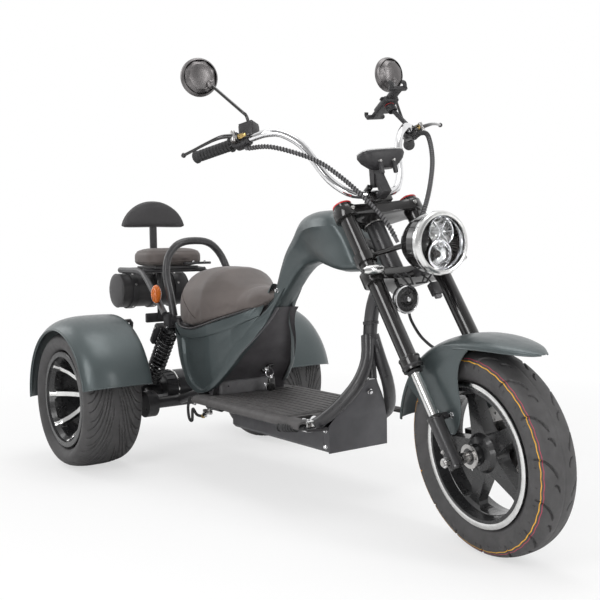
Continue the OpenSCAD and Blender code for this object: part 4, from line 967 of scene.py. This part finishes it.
def make_apron():
    rings = []
    for z, x, half in curve_through(APRON, 5):
        front = [(x + 7 * half / 139 * (1 - t * t) + 27 * abs(t) ** 7, t * (half + 4), z)
                 for t in np.linspace(-1, 1, 41)]
        rings.append(front + [(x - 7, half, z), (x - 7, -half, z)])
    apron = Shape(BODY)
    loft(apron, rings, "apron_grey")
    foot = []
    for inset, z in ((0, 270.2), (0, 306), (2, 312), (6, 315.4), (12, 316)):
        deep, wide = 29 - inset, 114 - inset
        foot.append([(424 + deep * power(math.cos(a), 0.5), wide * power(math.sin(a), 0.8), z)
                     for a in np.radians(np.linspace(-90, 90, 61))])
    loft(apron, foot, "trim_grey")
    for way in (1, -1):
        apron.bolt((446, way * 84, 296), (1, way * 0.2, 0), 7, "dark_plastic")
    apron.make("apron_skin", "chassis", "dark_plastic", ["apron"], angle=40)


KEY_HEAD = [(-10, -9), (-5, -12), (6, -12), (11, -8), (11, 8), (6, 12), (-5, 12), (-10, 9)]
KEY_FLAT = [(-3, -26), (3, -26), (3, 0), (8, 4), (8, 14), (-8, 14), (-8, 4), (-3, 0)]


def make_lock():
    lock = Shape(BODY @ shift(480, 42, 345) @ turn("Y", 62))
    lock.lathe([(15, -6), (15, 6), (13, 8), (9, 8.6), (8, 7.4), (0, 7.4)], "gloss_black", sides=32)
    lock.lathe([(8.2, 7.2), (8.2, 10), (6.8, 11), (0, 11)], "chrome", sides=24)
    lock.block((2.2, 8, 16), (0, 0, 16), "steel", bevel=0.6)
    lock.slab(KEY_HEAD, -3.4, 3.4, "gloss_black", shift(0, 0, 32) @ turn("Y", 90), bevel=1.2)
    lock.make("lock", "chassis", "chrome")
    keys = Shape(BODY @ shift(506, 42, 350) @ Matrix.Scale(1.4, 4))
    ring = [(0, 11 * math.cos(a), -10 + 11 * math.sin(a)) for a in np.radians(np.arange(0, 360, 15))]
    keys.tube(ring, 1.0, "chrome", sides=6, closed=True)
    keys.block((6, 19, 30), (2, 3, -38), "gloss_black", bevel=2.6)
    keys.block((1.6, 7, 12), (2, 3, -22), "chrome", bevel=0.6)
    keys.slab(KEY_FLAT, -1, 1, "chrome", shift(-2, -6, -48) @ turn("Z", 90) @ turn("X", 90), bevel=0.4)
    keys.make("keys", "chassis", "chrome")


# Front fender stations round the wheel: angle, crown radius, half width, edge radius
GUARD = [(169, 288, 74, 262), (158, 290, 74, 262), (140, 290, 74, 262), (120, 290, 74, 262),
         (100, 291, 74, 264), (86, 295, 73, 268), (75, 303, 68, 278), (65, 315, 57, 294),
         (58, 327, 42, 311), (53.5, 335, 24, 325), (51.2, 339, 9, 336)]
# Outline of the front fender's cheek, then its crown: share of the half width, share of the rise
GUARD_SIDE = [(-118, 78), (-54, 52), (-28, 60), (-6, 112), (-12, 180), (-2, 226), (22, 256), (30, 266),
              (-60, 266), (-150, 222), (-222, 150)]
GUARD_CROWN = [(1, 0), (0.97, 0.36), (0.8, 0.66), (0.45, 0.9), (0, 1)]
AXLE = FORK @ shift(LEG_X, 0, 0) @ LEVEL


def make_front_fender():
    half = curve_through(GUARD_CROWN, 4)
    section = np.concatenate([half, [(-a, b) for a, b in half[-2::-1]]])
    rings = []
    for angle, crown, width, edge in curve_through(GUARD, 5):
        c, s = math.cos(math.radians(angle)), math.sin(math.radians(angle))
        outer = [(edge + b * (crown - edge), a * width) for a, b in section]
        inner = [(edge + b * (crown - 4 - edge), a * (width - 4)) for a, b in section[::-1]]
        rings.append([(r * c, y, r * s) for r, y in outer + inner])
    guard = Shape(AXLE)
    loft(guard, rings, "paint")
    outline = curve_through(GUARD_SIDE, 4)
    for y in (72, -72):
        guard.slab(outline, -1.5, 1.5, "paint", shift(0, y, 0) @ turn("X", 90), bevel=0.9)
    for way in (1, -1):
        guard.tube([(x, way * 72.8, z) for x, z in outline[:33]], 2.0, "paint", sides=8)
        guard.bolt((-40, way * 73.5, 98), (0, way, 0), 12, "chrome")
        guard.bolt((-96, way * 73.5, 96), (0, way, 0), 10, "chrome")
        guard.tube([(-62, way * 72, 94), (-62, way * 88.6, 94)], 9, "dark_plastic", sides=18)
    for index in (0, len(section) - 1):
        guard.tube([r[index] for r in rings[22:]], 2.2, "paint", sides=8)
    guard.make("front_fender_skin", "fork", "paint", ["front_fender"], angle=40)


# Section of the rear fenders from the inner edge: outward place, radius
FENDER = [(-116, 262), (-115.6, 273), (-110, 281), (-94, 285.4), (-40, 286.4), (12, 285.6), (50, 281.6),
          (82, 273), (103, 261), (114, 250), (118, 243)]


def make_rear_fender(side):
    way = SIDES[side]
    skin = Shape(BODY @ shift(0, way * HALF_TRACK, REAR_RADIUS))
    outer = curve_through(FENDER, 4)
    section = np.concatenate([outer, outer[::-1] * (0.965, 1) - (0, 4)])
    arc = np.radians(np.linspace(14, 184, 96))
    loft(skin, [[(r * math.cos(a), way * y, r * math.sin(a)) for y, r in section] for a in arc], "paint")
    for y, r in (outer[0], outer[-1]):
        skin.tube([(r * math.cos(a), way * y, r * math.sin(a)) for a in arc], 2.4, "paint", sides=8)
    for a in (arc[0], arc[-1]):
        skin.tube([(r * math.cos(a), way * y, r * math.sin(a)) for y, r in outer], 2.4, "paint", sides=8)
    stay = [(60, -way * 114, 262), (60, -way * 140, 263), (58, -way * 146, 256), (0, -way * 146, 24)]
    skin.tube(stay, 7, "frame_black", sides=16)
    collar = [(23.4, -10), (31, -10), (31, 10), (23.4, 10)]
    skin.lathe(collar, "frame_black", shift(0, -way * 146, 0) @ turn("X", 90), 48)
    skin.make("rear_fender_%s_skin" % side, "chassis", "paint", ["rear_fender_%s" % side], angle=40)


# Fork, horn and indicators
def make_fork_trim():
    trim = Shape(FORK)
    for way in (1, -1):
        at = shift(LEG_X, way * LEG_Y, 0)
        trim.lathe([(25.6, 741), (26.8, 742), (26.8, 745), (24, 746.4), (20, 746)], "red_trim", at, 40)
        trim.lathe([(20, 745.4), (17, 747), (13, 747), (13, 752), (11.5, 753.6), (0, 754)], "gloss_black",
                   at, 24)
        trim.lathe([(27.4, 272), (28.2, 274), (28.2, 277), (26, 279.4), (22.4, 280)], "gloss_black", at, 40)
        trim.lathe([(27.3, 250), (27.9, 251), (27.9, 255), (27.3, 256)], "dark_plastic", at, 40)
        trim.lathe([(13.4, 243), (17, 243), (20, 240), (20, 236), (14, 234)], "grip_rubber", at, 32)
        trim.lathe([(19.4, 108), (20.6, 110), (20.6, 115), (18, 118), (13.3, 118.4)], "gloss_black", at, 36)
        trim.lathe([(19.2, -14), (19.6, -17), (15, -21.4), (0, -21.6)], "gloss_black", at, 32)
        trim.bolt((LEG_X, way * 127, 26), (0, way, 0), 8)
        nut = shift(LEG_X, way * 128, 0) @ turn("X", -way * 90)
        trim.lathe([(13, 0), (13, 8), (11, 10), (0, 10)], "chrome", nut, 6)
        for z in (514, 715):
            trim.bolt((78, way * 102, z), (1, 0, 0), 9)
    trim.make("fork_trim", "fork", "gloss_black")


def make_sliders():
    slide = Shape(FORK)
    for y in (LEG_Y, -LEG_Y):
        tube = [(0, 60), (13.2, 60), (13.2, 170), (13.2, 300), (0, 300)]
        slide.lathe(tube, "polished", shift(LEG_X, y, 0), 56)
    slide.make("fork_slider_tubes", "fork", "chrome", ["fork_sliders"])


def make_clamp_trim():
    stem = Shape(FORK)
    stem.lathe([(0, 741), (15, 741), (17, 739), (21, 738), (22, 735), (22, 730)], "steel", sides=6)
    stem.lathe([(30, 696.2), (31, 697), (31, 699.4), (29, 699.8)], "steel", sides=40)
    for y in (24, -24):
        for x in (46, 78):
            stem.bolt((x, y, 779), (0, 0, 1), 7)
        stem.block((46, 16, 14), (62, y, 773), "gloss_black", bevel=4)
    for y in (-58, -30, 30, 58):
        stem.bolt((66, y, 502), (0.3, 0, -1), 9, "dark_plastic")
        wire = [(70, y, 506), (78, y * 0.8, 486), (66, y * 0.5, 470), (52, y * 0.2, 478)]
        stem.tube(wire, 2.6, "grip_rubber", sides=8)
    stem.block((30, 46, 22), (84, 20, 496), "dark_plastic", bevel=4)
    stem.block((20, 26, 36), (96, 20, 432), "dark_plastic", bevel=3)
    stem.block((12, 18, 10), (96, 20, 410), "trim_grey", bevel=2)
    stem.tube(curve_through([(96, 20, 448), (92, 16, 466), (84, 10, 484)], 8), 2.0, "grip_rubber", sides=8)
    stem.make("clamp_trim", "fork", "steel")


def make_horn():
    horn = Shape(FORK @ shift(26, -38, 452) @ LEVEL @ turn("Y", 90))
    horn.lathe([(33.5, 18), (37, 18), (38.4, 20), (38.4, 23), (36.5, 25), (33, 24.6), (31.6, 22)], "chrome",
               sides=56)
    cone = [(31, 22.6), (24, 21.6), (20, 23.6), (15, 24.4), (11, 27), (10, 31), (6, 33), (0, 33.4)]
    horn.lathe(cone, "gloss_black", sides=48)
    horn.lathe([(6, 32.6), (5, 34.4), (0, 34.8)], "chrome", sides=20)
    for k in range(18):
        horn.block((13, 1.4, 2.4), (24, 0, 23.4), "dark_plastic", turn("Z", 20 * k), bevel=0.4)
    horn.make("horn_trim", "fork", "chrome")


# Half outline of the front indicators from end to end: place along, radius
ALMOND = [(1, 0), (0.86, 0.36), (0.6, 0.72), (0.3, 0.94), (0, 1), (-0.3, 0.96), (-0.6, 0.8), (-0.86, 0.5),
          (-1, 0)]
REAR_LENS = Matrix.Diagonal((15, 19, 33, 1))


def make_front_signal(side):
    way = SIDES[side]
    body = Shape(FORK @ flip(way) @ shift(91, 135, 514.5) @ turn("X", -90))
    line = curve_through([(13 * r, 38 * y) for y, r in ALMOND], 5)
    body.lathe([(max(r, 0), y) for r, y in line], "gloss_black", sides=32)
    arc = np.radians(np.linspace(-62, 74, 17))
    front = line[2:-2]
    points = [((r + 0.9) * math.cos(a), (r + 0.9) * math.sin(a), y * 0.94) for r, y in front for a in arc]
    body.add(points, grid_faces(len(front), len(arc), around=False), "polished")
    for k in range(5):
        body.block((2, 2.4, 9), (12.6, 0, -20 + 10 * k), "pale_plastic", bevel=0.8)
    body.tube([(-8, 0, -25), (-22, 0, -25)], 6, "gloss_black", sides=14)
    body.make("front_signal_%s" % side, "fork", "amber_lens", left_only(way, "front_signals"))


def make_rear_signal(side):
    way = SIDES[side]
    ball = curve_through([(math.cos(a), math.sin(a)) for a in np.radians(np.linspace(-90, 90, 9))], 3)
    lens = Shape(BODY @ shift(120, way * 172, 594))
    lens.lathe([(max(r, 0), z) for r, z in ball], "amber_lens", REAR_LENS, 32)
    for k in range(-3, 4):
        size = math.sqrt(1 - (k / 4) ** 2)
        rib = [(size, k / 4 - 0.03), (size * 1.03, k / 4), (size, k / 4 + 0.03)]
        lens.lathe(rib, "amber_lens", REAR_LENS, 32)
    lens.block((14, 10, 40), (-8, -way * 12, 0), "dark_plastic", bevel=4)
    lens.tube([(-8, -way * 8, -8), (-12.5, -way * 17.5, -18)], 5, "dark_plastic", sides=12)
    lens.make("rear_signal_%s" % side, "chassis", "amber_lens", left_only(way, "rear_signals"))


# Floor ribs, battery case bolts and the brake pedal on its chrome clamp
def make_floor():
    mat = Shape(BODY)
    for y in np.arange(-162, 163, 27):
        mat.block((424, 19, 2.6), (689, y, 273.6), "floor_mat", bevel=1.2)
    mat.make("floor_ribs", "chassis", "floor_mat")
    bolts = Shape(BODY)
    bolts.bolt((1066, 0, 346), (0.9, 0, -0.4), 13, "chrome")
    for way in (1, -1):
        for x, z in ((1001, 237), (1001, 191), (548, 225)):
            bolts.bolt((x, way * 109, z), (0, way, 0), 11, "chrome")
        bolts.tube([(988, way * 109.2, 180), (988, way * 109.2, 246)], 1.2, "case_grey", sides=6)
    tie = curve_through([(1071, -21, 545), (1068, -22, 520), (1068, -23, 500)], 4)
    bolts.tube(tie, 1.4, "dark_plastic", sides=6)
    for z, x in ((541, 1073), (503, 1068)):
        band = [(20.2, -5), (22.4, -4), (22.4, 4), (20.2, 5)]
        bolts.lathe(band, "dark_plastic", shift(x, 0, z) @ turn("Y", -6), 36)
    bolts.make("case_bolts", "chassis", "steel")


# Stretch of the right side tube that the pedal's clamp goes round
TUBE_CLAMP = [(940, 130, 246), (966, 130, 251), (992, 126, 266)]


def make_pedal():
    peg = Shape(BODY)
    clamp = curve_through([(x, -y, z) for x, y, z in TUBE_CLAMP], 5)[3:9]
    peg.tube(clamp, 21.5, "chrome", sides=24)
    peg.block((44, 32, 30), (974, -156, 254), "polished", bevel=3)
    for x in (964, 984):
        peg.bolt((x, -158, 268), (0, 0, 1), 9, "chrome")
    peg.bolt((962, -171, 256), (0, -1, 0), 9, "chrome")
    arm = curve_through([(986, -172, 250), (960, -184, 250), (930, -190, 246), (898, -193, 242)], 6)
    size = np.interp(np.arange(len(arm)), [0, 4, 9, 15, 18], [7, 9, 11.5, 13, 10])
    peg.tube(arm, size, "grip_rubber", sides=16)
    for k in range(5):
        p = arm[6 + 2 * k]
        peg.tube([p + (2.2, 0, 0.3), p - (2.2, 0, 0.3)], 13.4, "grip_rubber", sides=18)
    tip = shift(896, -193, 241.6) @ turn("Z", 174) @ turn("Y", 90)
    peg.lathe([(11, -3), (13, 0), (11.5, 5), (6, 8), (0, 9)], "grip_rubber", tip, 20)
    lever = [(980, -170, 249), (1006, -176, 247), (1010, -150, 246), (1010, -112, 244)]
    peg.tube(lever, 5, "dark_plastic", sides=10)
    peg.make("pedal", "chassis", "steel", ["brake_pedal"])


# Bars, levers, mirrors, pod and phone holder
BAR_END = Vector((-140, 374, 1074))
CONTROL_INSET = 148
BAR_DIR = (BAR_END - Vector((24, 254, 1013))).normalized()
# Levers in the frame of the hand, from the pivot to the ball
LEVERS = {
    "left": [(0, -45, -4), (-3, -62, 14), (-7, -78, 40), (-12, -94, 80), (-17, -108, 126),
             (-22, -120, 170)],
    "right": [(0, -45, -4), (0, -58, 18), (3, -64, 42), (6, -62, 80), (9, -58, 118), (12, -55, 154)],
}


def hand_frame(way):
    """Frame of a control housing: Z along the bar to its end, -X up, -Y forward."""
    return FORK @ flip(way) @ Matrix.Translation(BAR_END - CONTROL_INSET * BAR_DIR) @ lay_along(BAR_DIR)


def make_control(side):
    way = SIDES[side]
    hand = Shape(hand_frame(way))
    hand.block((38, 40, 46), (0, 0, -4), "dark_plastic", bevel=9, steps=3)
    hand.lathe([(12, -34), (17, -33), (18, -30), (18, -25)], "dark_plastic", sides=32)
    hand.lathe([(20.6, -5), (20.6, -3)], "gloss_black", sides=4, phase=math.pi / 4)
    for z, look in ((8, "red_trim"), (-6, "pale_plastic"), (-18, "yellow_trim")):
        hand.block((5, 9, 7), (-20, 5, z), look, bevel=1.6)
    hand.block((26, 28, 26), (0, -27, -3), "gloss_black", bevel=5)
    pin = [(0, -16), (6, -16), (7, -14), (7, 14), (6, 16), (0, 16)]
    hand.lathe(pin, "steel", shift(0, -42, -4) @ turn("Y", 90), 20)
    hand.tube([(0, -16, -40), (0, -24, -30), (0, -32, -18)], 6, "gloss_black", sides=14)
    adjuster = [(7, 0), (7, 12), (5, 14), (5, 22), (3.4, 24)]
    hand.lathe(adjuster, "brass", shift(0, -30, -16) @ turn("X", 180), 6)
    hand.tube([(-2, 12, -28), (-4, 16, -44), (-2, 14, -62)], 4, "grip_rubber", sides=10)
    if side == "right":
        hand.block((46, 42, 48), (-24, 8, -28), "dark_plastic", bevel=6, steps=3)
        hand.block((4, 38, 44), (-47, 8, -28), "dark_plastic", bevel=1.6)
    hand.make("control_%s" % side, "fork", "dark_plastic", left_only(way, "controls"))


def make_lever(side):
    way = SIDES[side]
    lever = Shape(hand_frame(way))
    line = curve_through(LEVERS[side], 6)
    size = np.interp(np.arange(len(line)), [0, 8, 14, 24, 30], [6.5, 5.6, 4.6, 4.2, 4.6])
    lever.tube(line, size, "gloss_black", sides=14)
    ball = [(0, -7.5), (4.5, -6), (7, -2.6), (7.5, 0), (7, 2.6), (4.5, 6), (0, 7.5)]
    lever.lathe(ball, "gloss_black", Matrix.Translation(line[-1]), 20)
    lever.make("lever_%s" % side, "fork", "dark_plastic", left_only(way, "levers"))


# Middle of each mirror in the fork's frame, both given as if on the left
MIRRORS = {"left": (-24, 327, 1269), "right": (-24, 335, 1269)}


def make_mirrors():
    glass = Shape(FORK)
    for side, way in SIDES.items():
        at = flip(way) @ shift(*MIRRORS[side]) @ LEVEL @ turn("Z", 6) @ turn("Y", -90)
        glass.lathe([(0, 10.6), (45, 10.6), (50, 11.4), (51, 11)], "mirror_glass", at, 64)
        glass.lathe([(49, -5.6), (53.4, -1), (55.2, 5), (55.2, 10), (53, 12.4), (50.6, 12)], "mirror_back",
                    at, 64)
        glass.lathe([(38.5, -13), (54, 1.5)], "mirror_back", at, 8, math.pi / 8)
        glass.lathe([(0, -21), (12, -20.6), (22, -19.2), (30, -17), (35.4, -14.8)], "mirror_back", at, 64)
        glass.lathe([(33, -15.6), (37.6, -15), (38.5, -13)], "mirror_back", at, 8, math.pi / 8)
        knee = Vector((-24, 0 if side == "left" else -24, -17))
        joint = at @ knee
        glass.lathe([(12, 4), (11, -5), (7, -9), (0, -10)], "mirror_back", at @ Matrix.Translation(knee),
                    24)
        if side == "left":
            path = [(-21.5, 287, 1052), (-23, 290, 1095), (-20, 300, 1170)]
        else:
            foot = FORK.inverted() @ hand_frame(way) @ Vector((-40, 8, -28))
            path = [foot + Vector(p) for p in ((0, 0, 0), (9, 0, 16), (17, -5, 30), (21, -16, 40))]
        glass.tube(curve_through(path + [joint], 8), 4.6, "gloss_black", sides=14)
    glass.make("mirror_heads", "fork", "gloss_black", ["mirrors"])


def make_pod():
    pod = Shape(FORK @ shift(136, 8, 827) @ LEVEL @ turn("Y", -16))
    rim = [(3 + 29 * power(math.cos(a), 0.55), 66 * power(math.sin(a), 0.55), 16.2)
           for a in np.radians(np.arange(0, 360, 5))]
    pod.tube(rim, 1.8, "pale_plastic", sides=8, closed=True)
    screen = [(3 + 25 * power(math.cos(a), 0.5), 58 * power(math.sin(a), 0.5))
              for a in np.radians(np.arange(0, 360, 8))]
    pod.slab(screen, 15.4, 17.2, "screen", bevel=0.6)
    for y in (-22, 22):
        pod.bolt((26, y, -14), (1, 0, -0.4), 9, "steel")
        pod.block((10, 12, 34), (24, y, -34), "dark_plastic", bevel=3)
    pod.make("pod_trim", "fork", "dark_plastic")


def make_phone_holder():
    phone = Shape(FORK @ shift(2, 236, 1126) @ LEVEL @ turn("Y", -28))
    phone.block((150, 30, 16), (0, 0, 4), "dark_plastic", bevel=4)
    phone.block((74, 52, 20), (-4, 0, 0), "dark_plastic", bevel=6, steps=3)
    phone.lathe([(10, -11), (14, -10.4), (15, -8.6), (14, -6.8)], "red_trim", shift(8, 0, 0), 32)
    phone.lathe([(9, -22), (13, -20), (14, -14), (12, -8)], "dark_plastic", shift(8, 0, 0), 28)
    for x in (-74, 74):
        phone.block((14, 64, 12), (x, 0, 4), "dark_plastic", bevel=3)
        for y in (-24, 24):
            hook = [(x, y, 4), (x * 1.09, y, 9), (x * 1.12, y, 18), (x * 1.05, y, 25)]
            phone.tube(curve_through(hook, 5), 6.4, "grip_rubber", sides=10)
    phone.block((14, 62, 6), (18, 0, 8), "dark_plastic", bevel=2)
    phone.make("phone_holder_skin", "fork", "dark_plastic", ["phone_holder"])
    stalk = Shape(FORK)
    stalk.tube([(8, 238, 1104), (24, 252, 1026)], 7, "dark_plastic", sides=20)
    stalk.lathe([(13, -7), (15, -5), (15, 5), (13, 7)], "dark_plastic", shift(9, 239, 1098), 24)
    stalk.make("phone_stalk", "fork", "dark_plastic")


# Shock absorbers, motor and what hangs under the body
SHOCK_FOOT = Vector((5, 143, 262))
SHOCK_HEAD = Vector((160.5, 138, 482))
SHOCK_LENGTH = (SHOCK_HEAD - SHOCK_FOOT).length
SHOCK_LAY = Matrix.Translation(SHOCK_FOOT) @ lay_along((SHOCK_HEAD - SHOCK_FOOT).normalized())


def make_rear_trim():
    trim = Shape(BODY)
    length = SHOCK_LENGTH
    for way in (1, -1):
        at = flip(way) @ SHOCK_LAY
        for z in (24, 30, length - 46, length - 36, length - 26):
            trim.lathe([(30, z - 2.4), (33, z - 1.6), (33, z + 1.6), (30, z + 2.4)], "shock_black", at, 36)
        cap = [(20, length - 22), (24, length - 20), (24, length - 6), (18, length - 2), (10, length)]
        trim.lathe(cap, "shock_black", at, 32)
        trim.lathe([(10.5, 30), (10.5, 96)], "chrome", at, 28)
        trim.lathe([(19, 96), (21, 98), (21, 118), (19, 120)], "shock_black", at, 32)
        for p in (SHOCK_FOOT, SHOCK_HEAD):
            trim.bolt((p.x, way * (p.y + 12), p.z), (0, way, 0), 15, "chrome")
        stub = shift(105, 0, 205) @ turn("X", -way * 90)
        trim.lathe([(17, 148), (17, 164), (14, 168), (0, 169)], "rim_black", stub, 32)
        trim.bolt((252, way * 100, 218), (0, way, 0), 17, "chrome")
    for y, r in ((-99, 65.5), (-62, 65), (-56, 65), (56, 65), (62, 65), (99, 65.5)):
        rows = [(63.6, y - 3), (r, y - 2.2), (r, y + 2.2), (63.6, y + 3)]
        look = "polished" if abs(y) < 60 else "motor_alloy"
        trim.lathe(rows, look, shift(0, 0, REAR_RADIUS) @ turn("X", 90), 64)
    for k in range(20):
        for y in (81, -81):
            fin = shift(0, 0, REAR_RADIUS) @ turn("Y", 18 * k)
            trim.block((4, 30, 5), (0, y, 65), "motor_alloy", fin, bevel=1)
    trim.make("rear_trim", "chassis", "shock_black")


def make_springs():
    coil = Shape(BODY)
    turns = np.linspace(0, 11 * 2 * math.pi, 265)
    helix = [(28 * math.cos(t), 28 * math.sin(t), 34 + (SHOCK_LENGTH - 84) * t / turns[-1]) for t in turns]
    for way in (1, -1):
        coil.tube(helix, 4.6, "shock_black", flip(way) @ SHOCK_LAY)
    coil.make("spring_coils", "chassis", "shock_black", ["springs"])


def make_tail_lamp():
    lamp = Shape(BODY)
    high = max(v.co.z for v in NODES["tail_lamp"].data.vertices) * 1000
    lamp.block((5, 20, high - 480), (-181.5, 0, (high + 480) / 2), "frame_black", bevel=1)
    lamp.block((17, 110, 36), (-192.5, 0, 484), "dark_plastic", bevel=4)
    lamp.block((7, 102, 28), (-203, 0, 484), "red_lens", bevel=2.4)
    for y in (-26, 26):
        lamp.block((1.4, 2, 26), (-206.6, y, 484), "red_lens", bevel=0.5)
    lamp.make("tail_lamp_skin", "chassis", "red_lens", ["tail_lamp"])


def make_relay_box():
    box = Shape(BODY @ shift(96, -152, 452) @ turn("Y", 36))
    box.block((26, 46, 84), (0, 0, 0), "dark_plastic", bevel=7, steps=3)
    for k in range(5):
        box.block((3, 40, 4), (-13, 0, -28 + 14 * k), "dark_plastic", bevel=1)
    box.bolt((0, -23, 26), (0, -1, 0), 7)
    box.block((8, 20, 26), (12, 10, 46), "steel", bevel=1.4)
    box.make("relay_box", "chassis", "dark_plastic")


def make_brake_fitting():
    fit = Shape(BODY)
    fit.block((46, 14, 14), (372, -121, 204), "steel", bevel=3)
    fit.tube([(348, -121, 190), (372, -121, 206), (404, -121, 226)], 7.5, "steel", sides=14)
    fit.tube([(340, -121, 184), (350, -121, 191)], 8.5, "brass", sides=6)
    fit.bolt((374, -129, 196), (0, -1, 0), 15, "chrome")
    fit.tube([(396, -121, 220), (410, -120, 232), (420, -118, 244)], 9, "grip_rubber", sides=12)
    fit.make("brake_fitting", "chassis", "steel")


# Studio lamps: place, aim and size in metres, power in watts
LAMPS = {
    "key": ((1.4, -3.4, 2.8), (0.2, 0, 0.5), (1.4, 2.2), 52),
    "side": ((3.6, 0.8, 1.9), (0.3, 0, 0.5), (0.5, 2.4), 34),
    "fill": ((2.9, -3.0, 0.55), (-0.3, -0.1, 0.35), (1.6, 0.9), 20),
    "back": ((-3.2, -1.6, 2.6), (-0.2, 0, 0.5), (1.2, 2.2), 18),
    "top": ((0, 0.2, 4.0), (0, 0, 0), (2.6, 1.6), 32),
}


def make_world():
    """A pale surround that the camera sees white and that falls off to one side for reflections."""
    bpy.context.scene.world = bpy.data.worlds.new("studio")
    n = Nodes(bpy.context.scene.world)
    ray = n.add("ShaderNodeLightPath").outputs
    toward = {0: n.spots["Generated"], 1: (-0.80, 0.59, 0.25)}
    way = n.add("ShaderNodeVectorMath", toward, operation="DOT_PRODUCT")
    shade = n.span(way.outputs["Value"], 0.38, 1.0, -0.35, 0.3)
    seen = n.math("MAXIMUM", ray["Is Camera Ray"], ray["Is Transmission Ray"])
    bright = n.math("MAXIMUM", seen, ray["Is Glossy Ray"])
    background = n.tree.nodes["Background"].inputs
    n.put(background["Color"], n.math("MAXIMUM", shade, seen))
    n.put(background["Strength"], n.span(bright, 0.78, 1.0, 0, 1))


def make_ground():
    floor = bpy.data.meshes.new("floor")
    floor.from_pydata([(-30, -30, 0), (30, -30, 0), (30, 30, 0), (-30, 30, 0)], [], [(0, 1, 2, 3)])
    obj = bpy.data.objects.new("floor", floor)
    bpy.context.scene.collection.objects.link(obj)
    n = new_material("floor")
    n.set(Base_Color=n.blend(n.noise(3, 2), (0.93, 0.93, 0.93, 1), (0.95, 0.95, 0.95, 1)))
    n.set(Roughness=0.9, Specular_IOR_Level=0.1)
    glow = n.add("ShaderNodeEmission", {"Color": (1, 1, 1, 1), "Strength": 1.0})
    ray = n.add("ShaderNodeLightPath")
    far = n.add("ShaderNodeVectorMath", {0: n.place}, operation="LENGTH").outputs["Value"]
    share = n.math("MULTIPLY", ray.outputs["Is Camera Ray"], n.span(far, 0.62, 1.0, 1.1, 2.6))
    mix = n.add("ShaderNodeMixShader", {0: share, 1: n.shader.outputs[0], 2: glow.outputs[0]})
    n.put(n.tree.nodes["Material Output"].inputs["Surface"], mix.outputs[0])
    floor.materials.append(n.owner)


def make_lamps():
    for name, (place, aim, size, watts) in LAMPS.items():
        lamp = bpy.data.lights.new(name, "AREA")
        lamp.shape = "RECTANGLE"
        lamp.size, lamp.size_y = size
        lamp.energy = watts
        light = bpy.data.objects.new(name, lamp)
        aimed = (Vector(aim) - Vector(place)).to_track_quat("-Z", "Y").to_matrix().to_4x4()
        light.matrix_world = Matrix.Translation(place) @ aimed
        bpy.context.scene.collection.objects.link(light)


bpy.context.scene.view_settings.view_transform = "Standard"
place_camera()
make_world()
make_ground()
make_lamps()
dress_cad()
for hand in SIDES:
    lay_cable(hand)
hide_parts("cables")
lay_hose("brake_hose", "fork", FORK, BRAKE_HOSE, 8)
lay_hose("rear_hose", "chassis", BODY, REAR_HOSE, 10)
make_front_wheel()
for hand in SIDES:
    make_rear_wheel(hand)
    make_panel(hand)
    make_rear_fender(hand)
make_saddle()
make_pillion()
make_backrest()
make_bag()
make_headlight()
make_tank()
make_apron()
make_lock()
make_front_fender()
make_fork_trim()
make_sliders()
make_clamp_trim()
make_horn()
for hand in SIDES:
    make_front_signal(hand)
    make_rear_signal(hand)
make_floor()
make_pedal()
for hand in SIDES:
    make_control(hand)
    make_lever(hand)
make_mirrors()
make_pod()
make_phone_holder()
make_rear_trim()
make_springs()
make_tail_lamp()
make_relay_box()
make_brake_fitting()
for name in ("frame", "grab_arch", "rear_rack"):
    smooth_copy(name, "chassis")
for name in ("handlebar", "instrument_pod"):
    smooth_copy(name, "fork")
for name in ("battery_case", "floorboard"):
    smooth_copy(name, "chassis", angle=30, bevel=0.0015)
smooth_copy("brake_caliper", "fork", angle=30, bevel=0.0015)
smooth_copy("steering_stem", "fork", angle=30, bevel=0.003).data.materials[0] = LOOK["gloss_black"]

bpy.context.view_layer.update()
